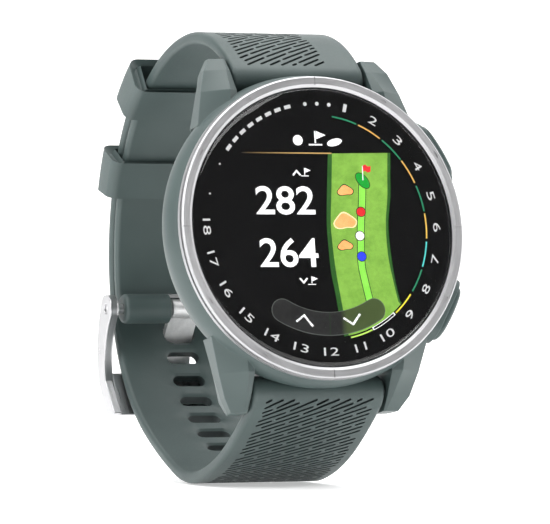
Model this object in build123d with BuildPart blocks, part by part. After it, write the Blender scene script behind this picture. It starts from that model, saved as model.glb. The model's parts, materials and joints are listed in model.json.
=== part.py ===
from build123d import *
from math import acos, asin, atan2, cos, degrees, hypot, pi, radians, sin
import os

# Wrist watch, buckled, standing on its strap with the dial facing -Y.
# Lengths are millimetres and angles are degrees.
# The watch leans back by `lean`. Its own directions are "across" (X), "up" (towards 12 o'clock),
# "front" (out of the dial) and "deep" (from the bezel's front plane towards the wrist).

os.makedirs("parts", exist_ok=True)

# ---------------------------------------------------------------- driving dimensions
lean = 9.4
face_y = -26.21             # centre of the bezel's front plane
face_z = 35.875

bezel_radius = 20.85
case_depth = 11.9           # bezel front to rear cover
flange_depth = 10.6         # where the rear cover meets the case
glass_radius = 19.25
glass_front = 0.25
glass_back = 1.30
ledge_depth = 1.45
upper_cavity_radius = 17.35
lower_cavity_radius = 14.9
cavity_step_depth = 6.2

lug_gap = 20.4
strap_width = 19.6
strap_thickness = 1.7
bar_deep = 7.4              # spring bar axes
bar_up = 21.75
nose_radius = 2.3

wrist_centre = (22.9, 0.0)  # (deep, up) centre of the strap's rear arc
rear_radius = 31.1          # outside of the buckle half on the rear arc
tail_gap = 0.4
crown_radius = 21.7         # outside of the buckle half over the top

pin_deep = 51.3             # buckle pin axis
pin_up = -3.3
barrel_radius = 2.15
pin_radius = 0.7

keeper_outer = 34.5         # radii about the wrist centre
keeper_inner = 28.55
keeper_width = 23.6

button_angle = 30.0
button_deep = 4.9
button_length = 8.4
button_height = 3.2
button_radius = 23.35       # crown of the button's outer face
button_travel = 0.6

# ---------------------------------------------------------------- the watch's own planes
tilt = radians(lean)
across = Vector(1, 0, 0)
front = Vector(0, -cos(tilt), sin(tilt))
up = Vector(0, sin(tilt), cos(tilt))
deep = front * -1
face_centre = Vector(0, face_y, face_z)
axis = Axis(face_centre, front)
face = Plane(origin=face_centre, x_dir=across, z_dir=front)              # local x across, y up
section = Plane(origin=face_centre, x_dir=across, z_dir=up * -1)         # local x radius, y front
side = Plane(origin=face_centre, x_dir=deep, z_dir=across)               # local x deep, y up


def finish(builder, label):
    """Label a finished piece and write it to its own file."""
    builder.part.label = label
    export_step(builder.part, f"parts/{label}.step")


def turned(profile):
    """Revolve a closed (radius, depth) outline about the watch's axis in the active builder."""
    with BuildSketch(section) as outline:
        with BuildLine():
            Polyline([(radius, -depth) for radius, depth in profile], close=True)
        make_face()
    revolve(outline.sketch, axis=axis)


def at_depth(depth):
    return face.offset(-depth)


def on_clock(radius, angle):
    """Point on the face plane at an angle from 3 o'clock."""
    return (radius * cos(radians(angle)), radius * sin(radians(angle)))


def on_wrist(radius, angle):
    """(deep, up) point at a radius and angle about the wrist centre."""
    return (wrist_centre[0] + radius * cos(radians(angle)), wrist_centre[1] + radius * sin(radians(angle)))


def wrist_sector(inner, outer, start, end):
    """Closed face between two radii and two angles about the wrist centre."""
    with BuildLine() as outline:
        CenterArc(wrist_centre, outer, start, end - start)
        Line(on_wrist(outer, end), on_wrist(inner, end))
        CenterArc(wrist_centre, inner, end, start - end)
        Line(on_wrist(inner, start), on_wrist(outer, start))
    make_face(outline.edges())


# ---------------------------------------------------------------- case body with its four lugs
# Lug sections, each (up, [(across, depth), ...]) with a narrow bevel beside the strap,
# a broad outer facet and a rounded underside.
lug_sections = [
    (14.5, [(10.2, 2.3), (12.0, 1.8), (16.2, 3.6), (16.0, 7.0), (14.4, 10.2), (10.2, 10.3)]),
    (19.4, [(10.2, 3.4), (11.5, 2.6), (14.9, 4.9), (14.7, 7.4), (13.4, 10.4), (10.2, 10.6)]),
    (22.6, [(10.2, 5.4), (10.9, 5.1), (13.8, 6.0), (13.6, 8.0), (12.8, 10.6), (10.2, 10.9)]),
    (24.5, [(10.2, 7.0), (10.5, 6.9), (12.5, 7.2), (12.5, 8.5), (12.0, 10.1), (10.2, 10.3)]),
]
screw_radius = 17.2
port_up = 11.6
port_length = 9.6
port_height = 4.4


def add_lug(side_sign, end_sign):
    sections = []
    for height, outline in lug_sections:
        lug_plane = Plane(origin=face_centre + up * (end_sign * height), x_dir=across, z_dir=up * -1)
        with BuildSketch(lug_plane) as lug_section:
            with BuildLine():
                Polyline([(side_sign * x, -depth) for x, depth in outline], close=True)
            make_face()
        sections.append(lug_section.sketch)
    loft(sections, ruled=True)


def button_plane(angle, radius=0.0):
    """Plane across a button's push axis: local x along the case's rim, y towards the front."""
    x, y = on_clock(1, angle)
    outward = across * x + up * y
    along = up * x - across * y
    origin = face_centre - front * button_deep + outward * radius
    return Plane(origin=origin, x_dir=along, z_dir=outward)


with BuildPart() as case_body:
    with BuildSketch(section):
        with BuildLine():
            Line((0, -ledge_depth), (20.9, -ledge_depth))
            ThreePointArc((20.9, -ledge_depth), (21.62, -4.1), (20.4, -7.9))
            Polyline((20.4, -7.9), (19.2, -flange_depth), (0, -flange_depth), (0, -ledge_depth))
        make_face()
    revolve(axis=axis)
    for side_sign in (-1, 1):
        for end_sign in (-1, 1):
            add_lug(side_sign, end_sign)
    # raised guards around the buttons
    for angle in (-button_angle, button_angle):
        with BuildSketch(button_plane(angle, 19.5)):
            SlotOverall(button_length + 2.2, button_height + 2.0)
        extrude(amount=2.7, taper=6)
    # room for the strap ends between the lugs
    for end_sign in (-1, 1):
        with BuildSketch(side):
            with Locations((bar_deep, end_sign * bar_up)):
                Circle(nose_radius + 0.35)
        extrude(amount=lug_gap / 2, both=True, mode=Mode.SUBTRACT)
        with BuildSketch(side):
            with Locations((bar_deep, end_sign * bar_up)):
                Circle(0.45)
        extrude(amount=lug_gap / 2 + 1.4, both=True, mode=Mode.SUBTRACT)
    # cavities
    with BuildSketch(at_depth(ledge_depth)):
        Circle(upper_cavity_radius)
    extrude(amount=-(cavity_step_depth - ledge_depth), mode=Mode.SUBTRACT)
    with BuildSketch(at_depth(cavity_step_depth)):
        Circle(lower_cavity_radius)
    extrude(amount=-(flange_depth - cavity_step_depth), mode=Mode.SUBTRACT)
    # groove for the rear gasket
    with BuildSketch(at_depth(flange_depth)):
        Circle(16.05)
        Circle(15.2, mode=Mode.SUBTRACT)
    extrude(amount=0.4, mode=Mode.SUBTRACT)
    # holes for the screw inserts
    with BuildSketch(at_depth(flange_depth)):
        with PolarLocations(screw_radius, 4, start_angle=45):
            Circle(1.05)
    extrude(amount=3.2, mode=Mode.SUBTRACT)
    # button pockets, spring counterbores and stem bores
    for angle in (-button_angle, button_angle):
        with BuildSketch(button_plane(angle, 20.6)):
            SlotOverall(button_length + 0.3, button_height + 0.3)
        extrude(amount=4, mode=Mode.SUBTRACT)
        with BuildSketch(button_plane(angle, 19.2)):
            Circle(1.5)
        extrude(amount=2, mode=Mode.SUBTRACT)
        with BuildSketch(button_plane(angle, 16.5)):
            Circle(0.88)
        extrude(amount=4, mode=Mode.SUBTRACT)
finish(case_body, "case_body")

# ---------------------------------------------------------------- bezel, glass and display stack
bezel_profile = [
    (19.75, 0), (20.65, 0), (bezel_radius, 0.2), (bezel_radius, 0.45), (20.5, 0.5), (20.5, 0.75),
    (20.95, 0.8), (20.95, ledge_depth), (19.35, ledge_depth), (19.35, 0.3),
]
with BuildPart() as bezel_ring:
    turned(bezel_profile)
    # long index lines at the quarters, short dashes at the other hours
    with BuildSketch(face):
        with PolarLocations(20.2, 4):
            Rectangle(1.5, 0.14)
        for hour in range(12):
            if hour % 3:
                with PolarLocations(20.2, 1, start_angle=hour * 30):
                    Ellipse(0.16, 0.48)
    extrude(amount=-0.12, mode=Mode.SUBTRACT)
finish(bezel_ring, "bezel_ring")

with BuildPart() as cover_glass:
    turned([(0, glass_front), (18.95, glass_front), (glass_radius, 0.5), (glass_radius, glass_back),
            (0, glass_back)])
finish(cover_glass, "cover_glass")

with BuildPart() as glass_adhesive:
    turned([(17.75, glass_back), (19.15, glass_back), (19.15, ledge_depth), (17.75, ledge_depth)])
finish(glass_adhesive, "glass_adhesive")

with BuildPart() as display_panel:
    turned([(0, glass_back), (16.7, glass_back), (16.7, 2.3), (0, 2.3)])
finish(display_panel, "display_panel")

with BuildPart() as display_flex:
    with BuildSketch(side):
        with BuildLine():
            Polyline((2.3, -16.0), (2.3, -16.7), (4.55, -16.7), (4.55, -13.6), (4.4, -13.6), (4.4, -16.55),
                     (2.45, -16.55), (2.45, -16.0), close=True)
        make_face()
    extrude(amount=3.4, both=True)
finish(display_flex, "display_flex")

with BuildPart() as display_frame:
    turned([(0, 2.35), (15.9, 2.35), (15.9, 3.4), (15.1, 3.4), (15.1, 2.95), (0, 2.95)])
    # openings around a cross of ribs
    with BuildSketch(at_depth(2.35)):
        with PolarLocations(8.2, 4, start_angle=45):
            RegularPolygon(4.6, 6)
        Circle(2.2)
    extrude(amount=-1.0, mode=Mode.SUBTRACT)
    # posts that stand on the main board
    with BuildSketch(at_depth(2.95)):
        with PolarLocations(13.6, 4):
            Circle(0.7)
    extrude(amount=-0.65)
finish(display_frame, "display_frame")

with BuildPart() as gps_antenna:
    with BuildSketch(at_depth(2.45)):
        Circle(17.1)
        Circle(16.2, mode=Mode.SUBTRACT)
        with Locations((0, -16.6)):
            Rectangle(11, 6, mode=Mode.SUBTRACT)
    extrude(amount=-0.85)
    # feed foot that reaches the main board at the lower left end
    with BuildSketch(at_depth(3.3)):
        with Locations(on_clock(16.5, 236)):
            Rectangle(0.5, 0.9, rotation=56)
    extrude(amount=-0.3)
    with BuildSketch(at_depth(3.45)):
        with Locations(on_clock(16.2, 236)):
            Rectangle(1.1, 0.9, rotation=56)
    extrude(amount=-0.15)
finish(gps_antenna, "gps_antenna")

# ---------------------------------------------------------------- electronics
board_front = 3.6
board_back = 4.4
chips = [                   # (across, up, width, height, thickness)
    (-8.6, 6.4, 5.0, 5.0, 0.9), (-9.2, -1.0, 4.2, 3.4, 0.8), (-4.0, 11.4, 3.0, 2.0, 0.6),
    (1.0, 11.4, 3.4, 2.6, 0.8), (-7.2, -7.6, 2.6, 2.6, 0.7), (-11.4, -5.6, 1.6, 0.9, 0.5),
    (-12.9, 2.8, 1.0, 1.9, 0.5), (6.4, 11.0, 1.6, 2.4, 0.6), (-3.6, -11.0, 2.2, 1.4, 0.6),
    (3.6, -11.0, 2.2, 1.4, 0.6), (-12.6, 6.4, 1.2, 2.2, 0.5), (8.6, -9.4, 1.8, 1.2, 0.6),
]

with BuildPart() as main_board:
    with BuildSketch(at_depth(board_front)):
        Circle(16.1)
        with PolarLocations(16.1, 4, start_angle=45):
            Circle(1.4, mode=Mode.SUBTRACT)
        with Locations((0, 14.0)):
            SlotOverall(6, 1.2, mode=Mode.SUBTRACT)
    extrude(amount=-(board_back - board_front))
finish(main_board, "main_board")

with BuildPart() as board_chips:
    for x, y, width, height, thickness in chips:
        with BuildSketch(at_depth(board_back)):
            with Locations((x, y)):
                Rectangle(width, height)
        extrude(amount=-thickness)
finish(board_chips, "board_chips")

with BuildPart() as shield_can:
    with BuildSketch(at_depth(board_back)):
        with Locations((3.4, 1.4)):
            RectangleRounded(15, 13, 0.8)
    extrude(amount=-1.3)
    with BuildSketch(at_depth(board_back)):
        with Locations((3.4, 1.4)):
            RectangleRounded(14.6, 12.6, 0.6)
    extrude(amount=-1.1, mode=Mode.SUBTRACT)
finish(shield_can, "shield_can")

battery_top = 6.4
with BuildPart() as battery:
    with BuildSketch(at_depth(battery_top)):
        with Locations((0, -0.7)):
            RectangleRounded(21, 17.6, 1.6)
    extrude(amount=-3.6)
    fillet(battery.edges().filter_by(Axis(face_centre, across)), radius=0.9)
    # sealed terrace with the tabs
    with BuildSketch(at_depth(battery_top + 2.4)):
        with Locations((0, 8.5)):
            Rectangle(14, 1.2)
    extrude(amount=-0.5)
finish(battery, "battery")

with BuildPart() as battery_flex:
    with BuildSketch(side):
        with BuildLine():
            Polyline((board_back, 9.5), (board_back, 9.1), (8.8, 9.1), (8.8, 9.3), (4.6, 9.3), (4.6, 9.5),
                     close=True)
        make_face()
    extrude(amount=1.6, both=True)
finish(battery_flex, "battery_flex")

motor_deep = 8.0
motor_up = -11.8
motor_radius = 1.6
with BuildPart() as vibration_motor:
    with BuildSketch(side.offset(-5.8)):
        with Locations((motor_deep, motor_up)):
            Circle(motor_radius)
    extrude(amount=7.0)
    with BuildSketch(side.offset(1.2)):
        with Locations((motor_deep, motor_up)):
            Circle(0.8)
    extrude(amount=0.3)
    with BuildSketch(side.offset(-1.3)):
        with Locations((motor_deep, motor_up)):
            Circle(0.36)
    extrude(amount=2.8, mode=Mode.SUBTRACT)
finish(vibration_motor, "vibration_motor")

with BuildPart() as motor_weight:
    with BuildSketch(side.offset(1.7)):
        with Locations((motor_deep, motor_up)):
            Circle(motor_radius - 0.1)
            # the heavy half hangs straight down
            with PolarLocations(1.6, 1, start_angle=90 + lean):
                Rectangle(2.4, 4, mode=Mode.SUBTRACT)
            Circle(0.7)
    extrude(amount=2.8)
    with BuildSketch(side.offset(-1.2)):
        with Locations((motor_deep, motor_up)):
            Circle(0.32)
    extrude(amount=3.2)
finish(motor_weight, "motor_weight")

with BuildPart() as motor_cradle:
    with BuildSketch(side.offset(-4.6)):
        with Locations((motor_deep, motor_up)):
            Circle(motor_radius + 0.35)
            Circle(motor_radius, mode=Mode.SUBTRACT)
            with Locations((-2.2, 0)):
                Rectangle(2.4, 4, mode=Mode.SUBTRACT)
        with Locations((motor_deep + 2.0, motor_up)):
            Rectangle(0.5, 2.6)
    extrude(amount=4.2)
finish(motor_cradle, "motor_cradle")

with BuildPart() as buzzer:
    turned([(0, 10.1), (4.4, 10.1), (4.4, 10.25), (6.4, 10.25), (6.4, 10.45), (0, 10.45)])
finish(buzzer, "buzzer")

# ---------------------------------------------------------------- rear cover, gasket, screws and charging port
with BuildPart() as rear_cover:
    turned([(0, flange_depth), (18.75, flange_depth), (18.75, 11.0), (17.9, 11.55), (15.0, case_depth),
            (0, case_depth)])
    with BuildSketch(at_depth(flange_depth)):
        with Locations((0, port_up)):
            SlotOverall(port_length, port_height)
        with PolarLocations(screw_radius, 4, start_angle=45):
            Circle(0.65)
    extrude(amount=-2, mode=Mode.SUBTRACT)
    with BuildSketch(at_depth(11.1)):
        with PolarLocations(screw_radius, 4, start_angle=45):
            Circle(1.05)
    extrude(amount=-1, mode=Mode.SUBTRACT)
    # shallow ring that frames the centre of the cover
    with BuildSketch(at_depth(case_depth)):
        Circle(9.1)
        Circle(8.8, mode=Mode.SUBTRACT)
    extrude(amount=0.12, mode=Mode.SUBTRACT)
finish(rear_cover, "rear_cover")

with BuildPart() as rear_gasket:
    turned([(15.25, 10.2), (16.0, 10.2), (16.0, flange_depth), (15.25, flange_depth)])
finish(rear_gasket, "rear_gasket")

with BuildPart() as screw_inserts:
    with BuildSketch(at_depth(7.5)):
        with PolarLocations(screw_radius, 4, start_angle=45):
            Circle(1.05)
            Circle(0.6, mode=Mode.SUBTRACT)
    extrude(amount=-3.0)
finish(screw_inserts, "screw_inserts")

with BuildPart() as rear_screws:
    with BuildSketch(at_depth(8.2)):
        with PolarLocations(screw_radius, 4, start_angle=45):
            Circle(0.6)
    extrude(amount=-2.95)
    with BuildSketch(at_depth(11.1)):
        with PolarLocations(screw_radius, 4, start_angle=45):
            Circle(0.95)
    extrude(amount=-0.5)
    with BuildSketch(at_depth(11.6)):
        with PolarLocations(screw_radius, 4, start_angle=45):
            RegularPolygon(0.5, 6)
    extrude(amount=0.3, mode=Mode.SUBTRACT)
finish(rear_screws, "rear_screws")

contact_pitch = 1.9
with BuildPart() as charge_port:
    with BuildSketch(at_depth(9.6)):
        with Locations((0, port_up)):
            SlotOverall(port_length, port_height)
    extrude(amount=-(case_depth - 0.15 - 9.6))
    with BuildSketch(at_depth(11.0)):
        with Locations((0, port_up)):
            SlotOverall(8.2, 3.0)
    extrude(amount=-1, mode=Mode.SUBTRACT)
    with BuildSketch(at_depth(9.6)):
        with Locations((0, port_up)):
            with GridLocations(contact_pitch, 0, 4, 1):
                Circle(0.45)
    extrude(amount=-2, mode=Mode.SUBTRACT)
finish(charge_port, "charge_port")

with BuildPart() as charge_contacts:
    with BuildSketch(at_depth(9.2)):
        with Locations((0, port_up)):
            with GridLocations(contact_pitch, 0, 4, 1):
                Circle(0.45)
    extrude(amount=-2.3)
finish(charge_contacts, "charge_contacts")

# ---------------------------------------------------------------- the two buttons
stem_end = 16.35


def button_parts(angle, name):
    with BuildPart() as cap:
        with BuildSketch(button_plane(angle, 21.3)):
            SlotOverall(button_length, button_height)
        extrude(amount=3)
        with BuildSketch(section):
            with BuildLine():
                Line((15, -button_deep - 2.5), (15, -button_deep + 2.5))
                Line((15, -button_deep + 2.5), (button_radius - 0.25, -button_deep + 2.5))
                ThreePointArc((button_radius - 0.25, -button_deep + 2.5), (button_radius, -button_deep),
                              (button_radius - 0.25, -button_deep - 2.5))
                Line((button_radius - 0.25, -button_deep - 2.5), (15, -button_deep - 2.5))
            make_face()
        revolve(axis=axis, mode=Mode.INTERSECT)
        outward = button_plane(angle).z_dir
        crown = cap.faces().sort_by(Axis(face_centre, outward))[-1]
        fillet(crown.edges(), radius=0.45)
        # stem with grooves for the seal and the clip, and a nose that works the switch
        for start, end, radius in (
            (21.3, 18.9, 0.8), (18.9, 18.2, 0.52), (18.2, 17.25, 0.8), (17.25, 16.95, 0.5), (16.95, 16.75, 0.8),
            (16.75, stem_end, 0.4),
        ):
            with BuildSketch(button_plane(angle, end)):
                Circle(radius)
            extrude(amount=start - end)
    finish(cap, f"{name}_cap")

    with BuildPart() as seal:
        with BuildSketch(Plane(origin=button_plane(angle, 18.55).origin, x_dir=button_plane(angle).z_dir,
                               z_dir=button_plane(angle).x_dir * -1)):
            with Locations((0, 0.695)):
                Circle(0.17)
        revolve(axis=Axis(button_plane(angle, 18.55).origin, button_plane(angle).z_dir))
    finish(seal, f"{name}_seal")

    with BuildPart() as clip:
        with BuildSketch(button_plane(angle, 16.98)):
            Circle(1.2)
            Circle(0.52, mode=Mode.SUBTRACT)
            with Locations((0, -0.9)):
                Rectangle(0.8, 1.2, mode=Mode.SUBTRACT)
        extrude(amount=0.24)
    finish(clip, f"{name}_clip")

    with BuildPart() as spring:
        coil = button_plane(angle, 19.32)
        with BuildLine() as coil_path:
            Helix(pitch=0.48, height=1.86, radius=1.1, center=coil.origin, direction=coil.z_dir)
        with BuildSketch(Plane(origin=coil_path.line @ 0, z_dir=coil_path.line % 0)):
            Circle(0.11)
        sweep(path=coil_path.line)
    finish(spring, f"{name}_spring")

    with BuildPart() as switch:
        with BuildSketch(button_plane(angle, 14.3)):
            with Locations((0, -0.2)):
                Rectangle(3.0, 1.35)
        extrude(amount=1.85)
        with BuildSketch(button_plane(angle, 15.2)):
            Circle(0.5)
        extrude(amount=1, mode=Mode.SUBTRACT)
    finish(switch, f"{name}_switch")


button_parts(button_angle, "upper_button")
button_parts(-button_angle, "lower_button")

with BuildPart() as button_flex:
    with BuildSketch(at_depth(4.55)):
        with BuildLine():
            CenterArc((0, 0), 14.2, -38, 76)
            Line(on_clock(14.2, 38), on_clock(14.0, 38))
            CenterArc((0, 0), 14.0, 38, -76)
            Line(on_clock(14.0, -38), on_clock(14.2, -38))
        make_face()
    extrude(amount=-1.1)
finish(button_flex, "button_flex")

# ---------------------------------------------------------------- strap
tongue_notch = 5.6


def tangent_arcs(point, heading, targets):
    """Arcs from a point and heading through each target in turn, each tangent to the one before.

    Returns (centre, radius, start angle, sweep) with positive sweeps counter-clockwise."""
    arcs = []
    for target in targets:
        chord = hypot(target[0] - point[0], target[1] - point[1])
        turn = atan2(target[1] - point[1], target[0] - point[0]) - heading
        turn = (turn + pi) % (2 * pi) - pi
        radius = chord / (2 * sin(turn))
        centre = (point[0] - radius * sin(heading), point[1] + radius * cos(heading))
        start = atan2(point[1] - centre[1], point[0] - centre[0])
        arcs.append((centre, abs(radius), degrees(start), degrees(2 * turn)))
        point, heading = target, heading + 2 * turn
    return arcs


def ribbon(arcs, thickness):
    """Closed face between a run of tangent arcs and the same run moved inwards by the thickness."""
    def place(arc, radius, share):
        centre, _, start, sweep_angle = arc
        angle = radians(start + sweep_angle * share)
        return (centre[0] + radius * cos(angle), centre[1] + radius * sin(angle))

    with BuildLine() as outline:
        for centre, radius, start, sweep_angle in arcs:
            CenterArc(centre, radius, start, sweep_angle)
        last, first = arcs[-1], arcs[0]
        Line(place(last, last[1], 1), place(last, last[1] - thickness, 1))
        for centre, radius, start, sweep_angle in reversed(arcs):
            CenterArc(centre, radius - thickness, start + sweep_angle, -sweep_angle)
        Line(place(first, first[1] - thickness, 0), place(first, first[1], 0))
    make_face(outline.edges())


# Top half: from the nose over the crown arc and down the rear arc to the buckle's barrel.
nose = (bar_deep, bar_up)
to_nose = hypot(nose[0] - wrist_centre[0], nose[1] - wrist_centre[1])
crown_to_wrist = rear_radius - crown_radius
crown_to_nose = crown_radius - nose_radius
nose_bearing = atan2(nose[1] - wrist_centre[1], nose[0] - wrist_centre[0])
spread = acos((crown_to_wrist ** 2 + to_nose ** 2 - crown_to_nose ** 2) / (2 * crown_to_wrist * to_nose))
crown_bearing = nose_bearing - spread
crown_centre = (wrist_centre[0] + crown_to_wrist * cos(crown_bearing),
                wrist_centre[1] + crown_to_wrist * sin(crown_bearing))
crown_start = degrees(atan2(nose[1] - crown_centre[1], nose[0] - crown_centre[0]))
crown_end = degrees(crown_bearing)
rear_end = degrees(asin(pin_up / rear_radius))
upper_arcs = [
    (crown_centre, crown_radius, crown_start, crown_end - crown_start),
    (wrist_centre, rear_radius, crown_end, rear_end - crown_end),
]


bar_bore = 0.8
lever_travel = 1.5


def open_bar_seat(end_sign):
    """Bore a strap's nose for its spring bar and open it towards the wrist for the lever."""
    with BuildSketch(side) as bore:
        with Locations((bar_deep, end_sign * bar_up)):
            Circle(bar_bore)
    extrude(bore.sketch, amount=strap_width / 2, both=True, mode=Mode.SUBTRACT)
    with BuildSketch(at_depth(bar_deep)) as lever_window:
        with Locations((-5.45, end_sign * bar_up)):
            SlotOverall(3.9, 1.6)
    extrude(lever_window.sketch, amount=-3, mode=Mode.SUBTRACT)


def round_edges(strap, radius):
    """Round the long edges of a strap's two side faces."""
    edges = strap.faces().filter_by(Axis.X).edges().filter_by(GeomType.CIRCLE)
    fillet(edges.filter_by(lambda edge: edge.radius > 10), radius=radius)


with BuildPart() as strap_upper:
    with BuildSketch(side):
        ribbon(upper_arcs, strap_thickness)
    extrude(amount=strap_width / 2, both=True)
    round_edges(strap_upper, 0.45)
    with BuildSketch(side):
        with Locations((bar_deep, bar_up)):
            Circle(nose_radius)
        with Locations((pin_deep, pin_up)):
            Circle(barrel_radius)
    extrude(amount=strap_width / 2, both=True)
    # notch for the tongue and bore for the buckle pin
    with BuildSketch(side):
        with Locations((pin_deep + 0.4, pin_up - 1.2)):
            Rectangle(6.4, 6.4)
    extrude(amount=tongue_notch / 2, both=True, mode=Mode.SUBTRACT)
    with BuildSketch(side):
        with Locations((pin_deep, pin_up)):
            Circle(pin_radius + 0.02)
    extrude(amount=strap_width / 2, both=True, mode=Mode.SUBTRACT)
    open_bar_seat(1)
finish(strap_upper, "strap_upper")

# Bottom half: the tail starts inside the upper keeper, lies over the top half behind the wrist
# and runs under the wrist to the lower spring bar.
tail_radius = rear_radius + tail_gap + strap_thickness
tail_start = 58.0
tail_leaves = -12.0
lower_points = [(46.0, -22.5), (36.0, -29.4), (27.0, -31.5), (15.0, -28.6), (6.2, -23.9)]
lower_arcs = [(wrist_centre, tail_radius, tail_start, tail_leaves - tail_start)]
lower_arcs += tangent_arcs(on_wrist(tail_radius, tail_leaves), radians(tail_leaves) - pi / 2, lower_points)

slot_pitch = 4.2
slot_length = 6.0
slot_height = 2.0
buckled_slot_angle = -11.8
buckled_slot_height = 3.3   # the tongue stretches the slot that it is in
slots_towards_tip = 6
slots_towards_lug = 6


def along_tail(distance):
    """Plane on the tail's outer face at an arc length from its tip: local x across, z outwards."""
    for centre, radius, start, sweep_angle in lower_arcs:
        length = radius * radians(abs(sweep_angle))
        if distance <= length:
            break
        distance -= length
    angle = radians(start + sweep_angle * distance / length)
    outward = deep * cos(angle) + up * sin(angle)
    point = (centre[0] + radius * cos(angle), centre[1] + radius * sin(angle))
    return Plane(origin=side.from_local_coords((point[0], point[1], 0)), x_dir=across, z_dir=outward)


with BuildPart() as strap_lower:
    with BuildSketch(side):
        ribbon(lower_arcs, strap_thickness)
    extrude(amount=strap_width / 2, both=True)
    # rounded tip
    tip = along_tail(0)
    tip_edges = strap_lower.edges().filter_by(Axis(tip.origin, tip.z_dir)).sort_by_distance(tip.origin)[:2]
    fillet(tip_edges, radius=6)
    round_edges(strap_lower, 0.45)
    with BuildSketch(side):
        with Locations((bar_deep, -bar_up)):
            Circle(nose_radius)
    extrude(amount=strap_width / 2, both=True)
    buckled_slot = tail_radius * radians(tail_start - buckled_slot_angle)
    for index in range(-slots_towards_tip, slots_towards_lug + 1):
        height = slot_height if index else buckled_slot_height
        with BuildSketch(along_tail(buckled_slot + index * slot_pitch)):
            SlotOverall(slot_length, height)
        extrude(amount=0.8 + strap_thickness, both=True, mode=Mode.SUBTRACT)
    open_bar_seat(-1)
finish(strap_lower, "strap_lower")


# ---------------------------------------------------------------- quick-release spring bars
tube_radius = 0.75
tube_bore = 0.55
tip_radius = 0.4
tip_reach = 11.2            # half the length over both tips
lever_x = -6.2


def bar_sketch(end_sign, x, radius, hole=0.0):
    """Disc or ring about a spring bar's axis at a distance across."""
    with BuildSketch(side.offset(x)) as disc:
        with Locations((bar_deep, end_sign * bar_up)):
            Circle(radius)
            if hole:
                Circle(hole, mode=Mode.SUBTRACT)
    return disc.sketch


def spring_bar(end_sign, name):
    with BuildPart() as tube:
        extrude(bar_sketch(end_sign, -9.0, tube_radius), amount=18.3)
        extrude(bar_sketch(end_sign, 9.3, tip_radius), amount=tip_reach - 9.3)
        extrude(bar_sketch(end_sign, -9.0, tube_bore), amount=9.6, mode=Mode.SUBTRACT)
        with BuildSketch(at_depth(bar_deep)):
            with Locations((lever_x + lever_travel / 2, end_sign * bar_up)):
                SlotOverall(lever_travel + 0.8, 0.75)
        extrude(amount=-1, mode=Mode.SUBTRACT)
    finish(tube, f"{name}_tube")

    with BuildPart() as lever:
        extrude(bar_sketch(end_sign, -tip_reach, tip_radius), amount=tip_reach - 8.6)
        extrude(bar_sketch(end_sign, -8.6, tube_bore - 0.05), amount=3.4)
        for depth, height, radius in ((bar_deep, 2.6, 0.32), (bar_deep + 2.4, 0.6, 0.65)):
            with BuildSketch(at_depth(depth)):
                with Locations((lever_x, end_sign * bar_up)):
                    Circle(radius)
            extrude(amount=-height)
    finish(lever, f"{name}_lever")

    with BuildPart() as spring:
        coil_start = side.from_local_coords((bar_deep, end_sign * bar_up, -5.0))
        with BuildLine() as coil_path:
            Helix(pitch=0.5, height=5.4, radius=0.36, center=coil_start, direction=across)
        with BuildSketch(Plane(origin=coil_path.line @ 0, z_dir=coil_path.line % 0)):
            Circle(0.08)
        sweep(path=coil_path.line)
    finish(spring, f"{name}_spring")


spring_bar(1, "upper_bar")
spring_bar(-1, "lower_bar")

# ---------------------------------------------------------------- buckle
frame_half_width = 12.3
arm_inside = 11.1
arm_inner = 33.2            # the arms' edge towards the wrist
crossbar_inner = tail_radius + 0.4
crossbar_outer = 35.45
crossbar_start = -21.5
crossbar_bend = -29.5       # from here the crossbar's outside curls in
crossbar_end = -34.0
curl = on_wrist(34.85, -32.7)
tongue_width = 4.4
tongue_thickness = 0.95
tongue_radius = 35.45       # centre line of the tongue over the crossbar

with BuildPart() as buckle_pin:
    with BuildSketch(side.offset(-frame_half_width + 0.25)):
        with Locations((pin_deep, pin_up)):
            Circle(pin_radius)
    extrude(amount=2 * frame_half_width - 0.5)
finish(buckle_pin, "buckle_pin")

arm_foot = (pin_deep - 1.4, pin_up - 1.4)
arm_head = (pin_deep + 1.0, pin_up + 1.73)
arm_start = -22.0           # where the arms' outside becomes the crossbar's
arm_inner_start = -24.0
with BuildPart() as buckle_frame:
    for inside in (-frame_half_width, arm_inside):
        with BuildSketch(side.offset(inside)):
            with BuildLine():
                ThreePointArc(arm_head, (55.3, -7.4), on_wrist(crossbar_outer, arm_start))
                CenterArc(wrist_centre, crossbar_outer, arm_start, crossbar_bend - arm_start)
                ThreePointArc(on_wrist(crossbar_outer, crossbar_bend), curl, on_wrist(arm_inner, crossbar_end))
                CenterArc(wrist_centre, arm_inner, crossbar_end, arm_inner_start - crossbar_end)
                ThreePointArc(on_wrist(arm_inner, arm_inner_start), (52.6, -8.9), arm_foot)
                Line(arm_foot, arm_head)
            make_face()
            with Locations((pin_deep, pin_up)):
                Circle(2.0)
        extrude(amount=frame_half_width - arm_inside)
    with BuildSketch(side):
        with BuildLine():
            CenterArc(wrist_centre, crossbar_outer, crossbar_start, crossbar_bend - crossbar_start)
            ThreePointArc(on_wrist(crossbar_outer, crossbar_bend), curl, on_wrist(crossbar_inner, crossbar_end))
            CenterArc(wrist_centre, crossbar_inner, crossbar_end, crossbar_start - crossbar_end)
            Line(on_wrist(crossbar_inner, crossbar_start), on_wrist(crossbar_outer, crossbar_start))
        make_face()
    extrude(amount=arm_inside + 0.2, both=True)
    # rest for the tongue's tip
    with BuildSketch(side):
        wrist_sector(tongue_radius - tongue_thickness / 2 - 0.2, crossbar_outer + 1,
                     crossbar_start + 4, crossbar_end - 4)
    extrude(amount=tongue_width / 2 + 0.25, both=True, mode=Mode.SUBTRACT)
    with BuildSketch(side):
        with Locations((pin_deep, pin_up)):
            Circle(pin_radius + 0.05)
    extrude(amount=frame_half_width, both=True, mode=Mode.SUBTRACT)
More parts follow.
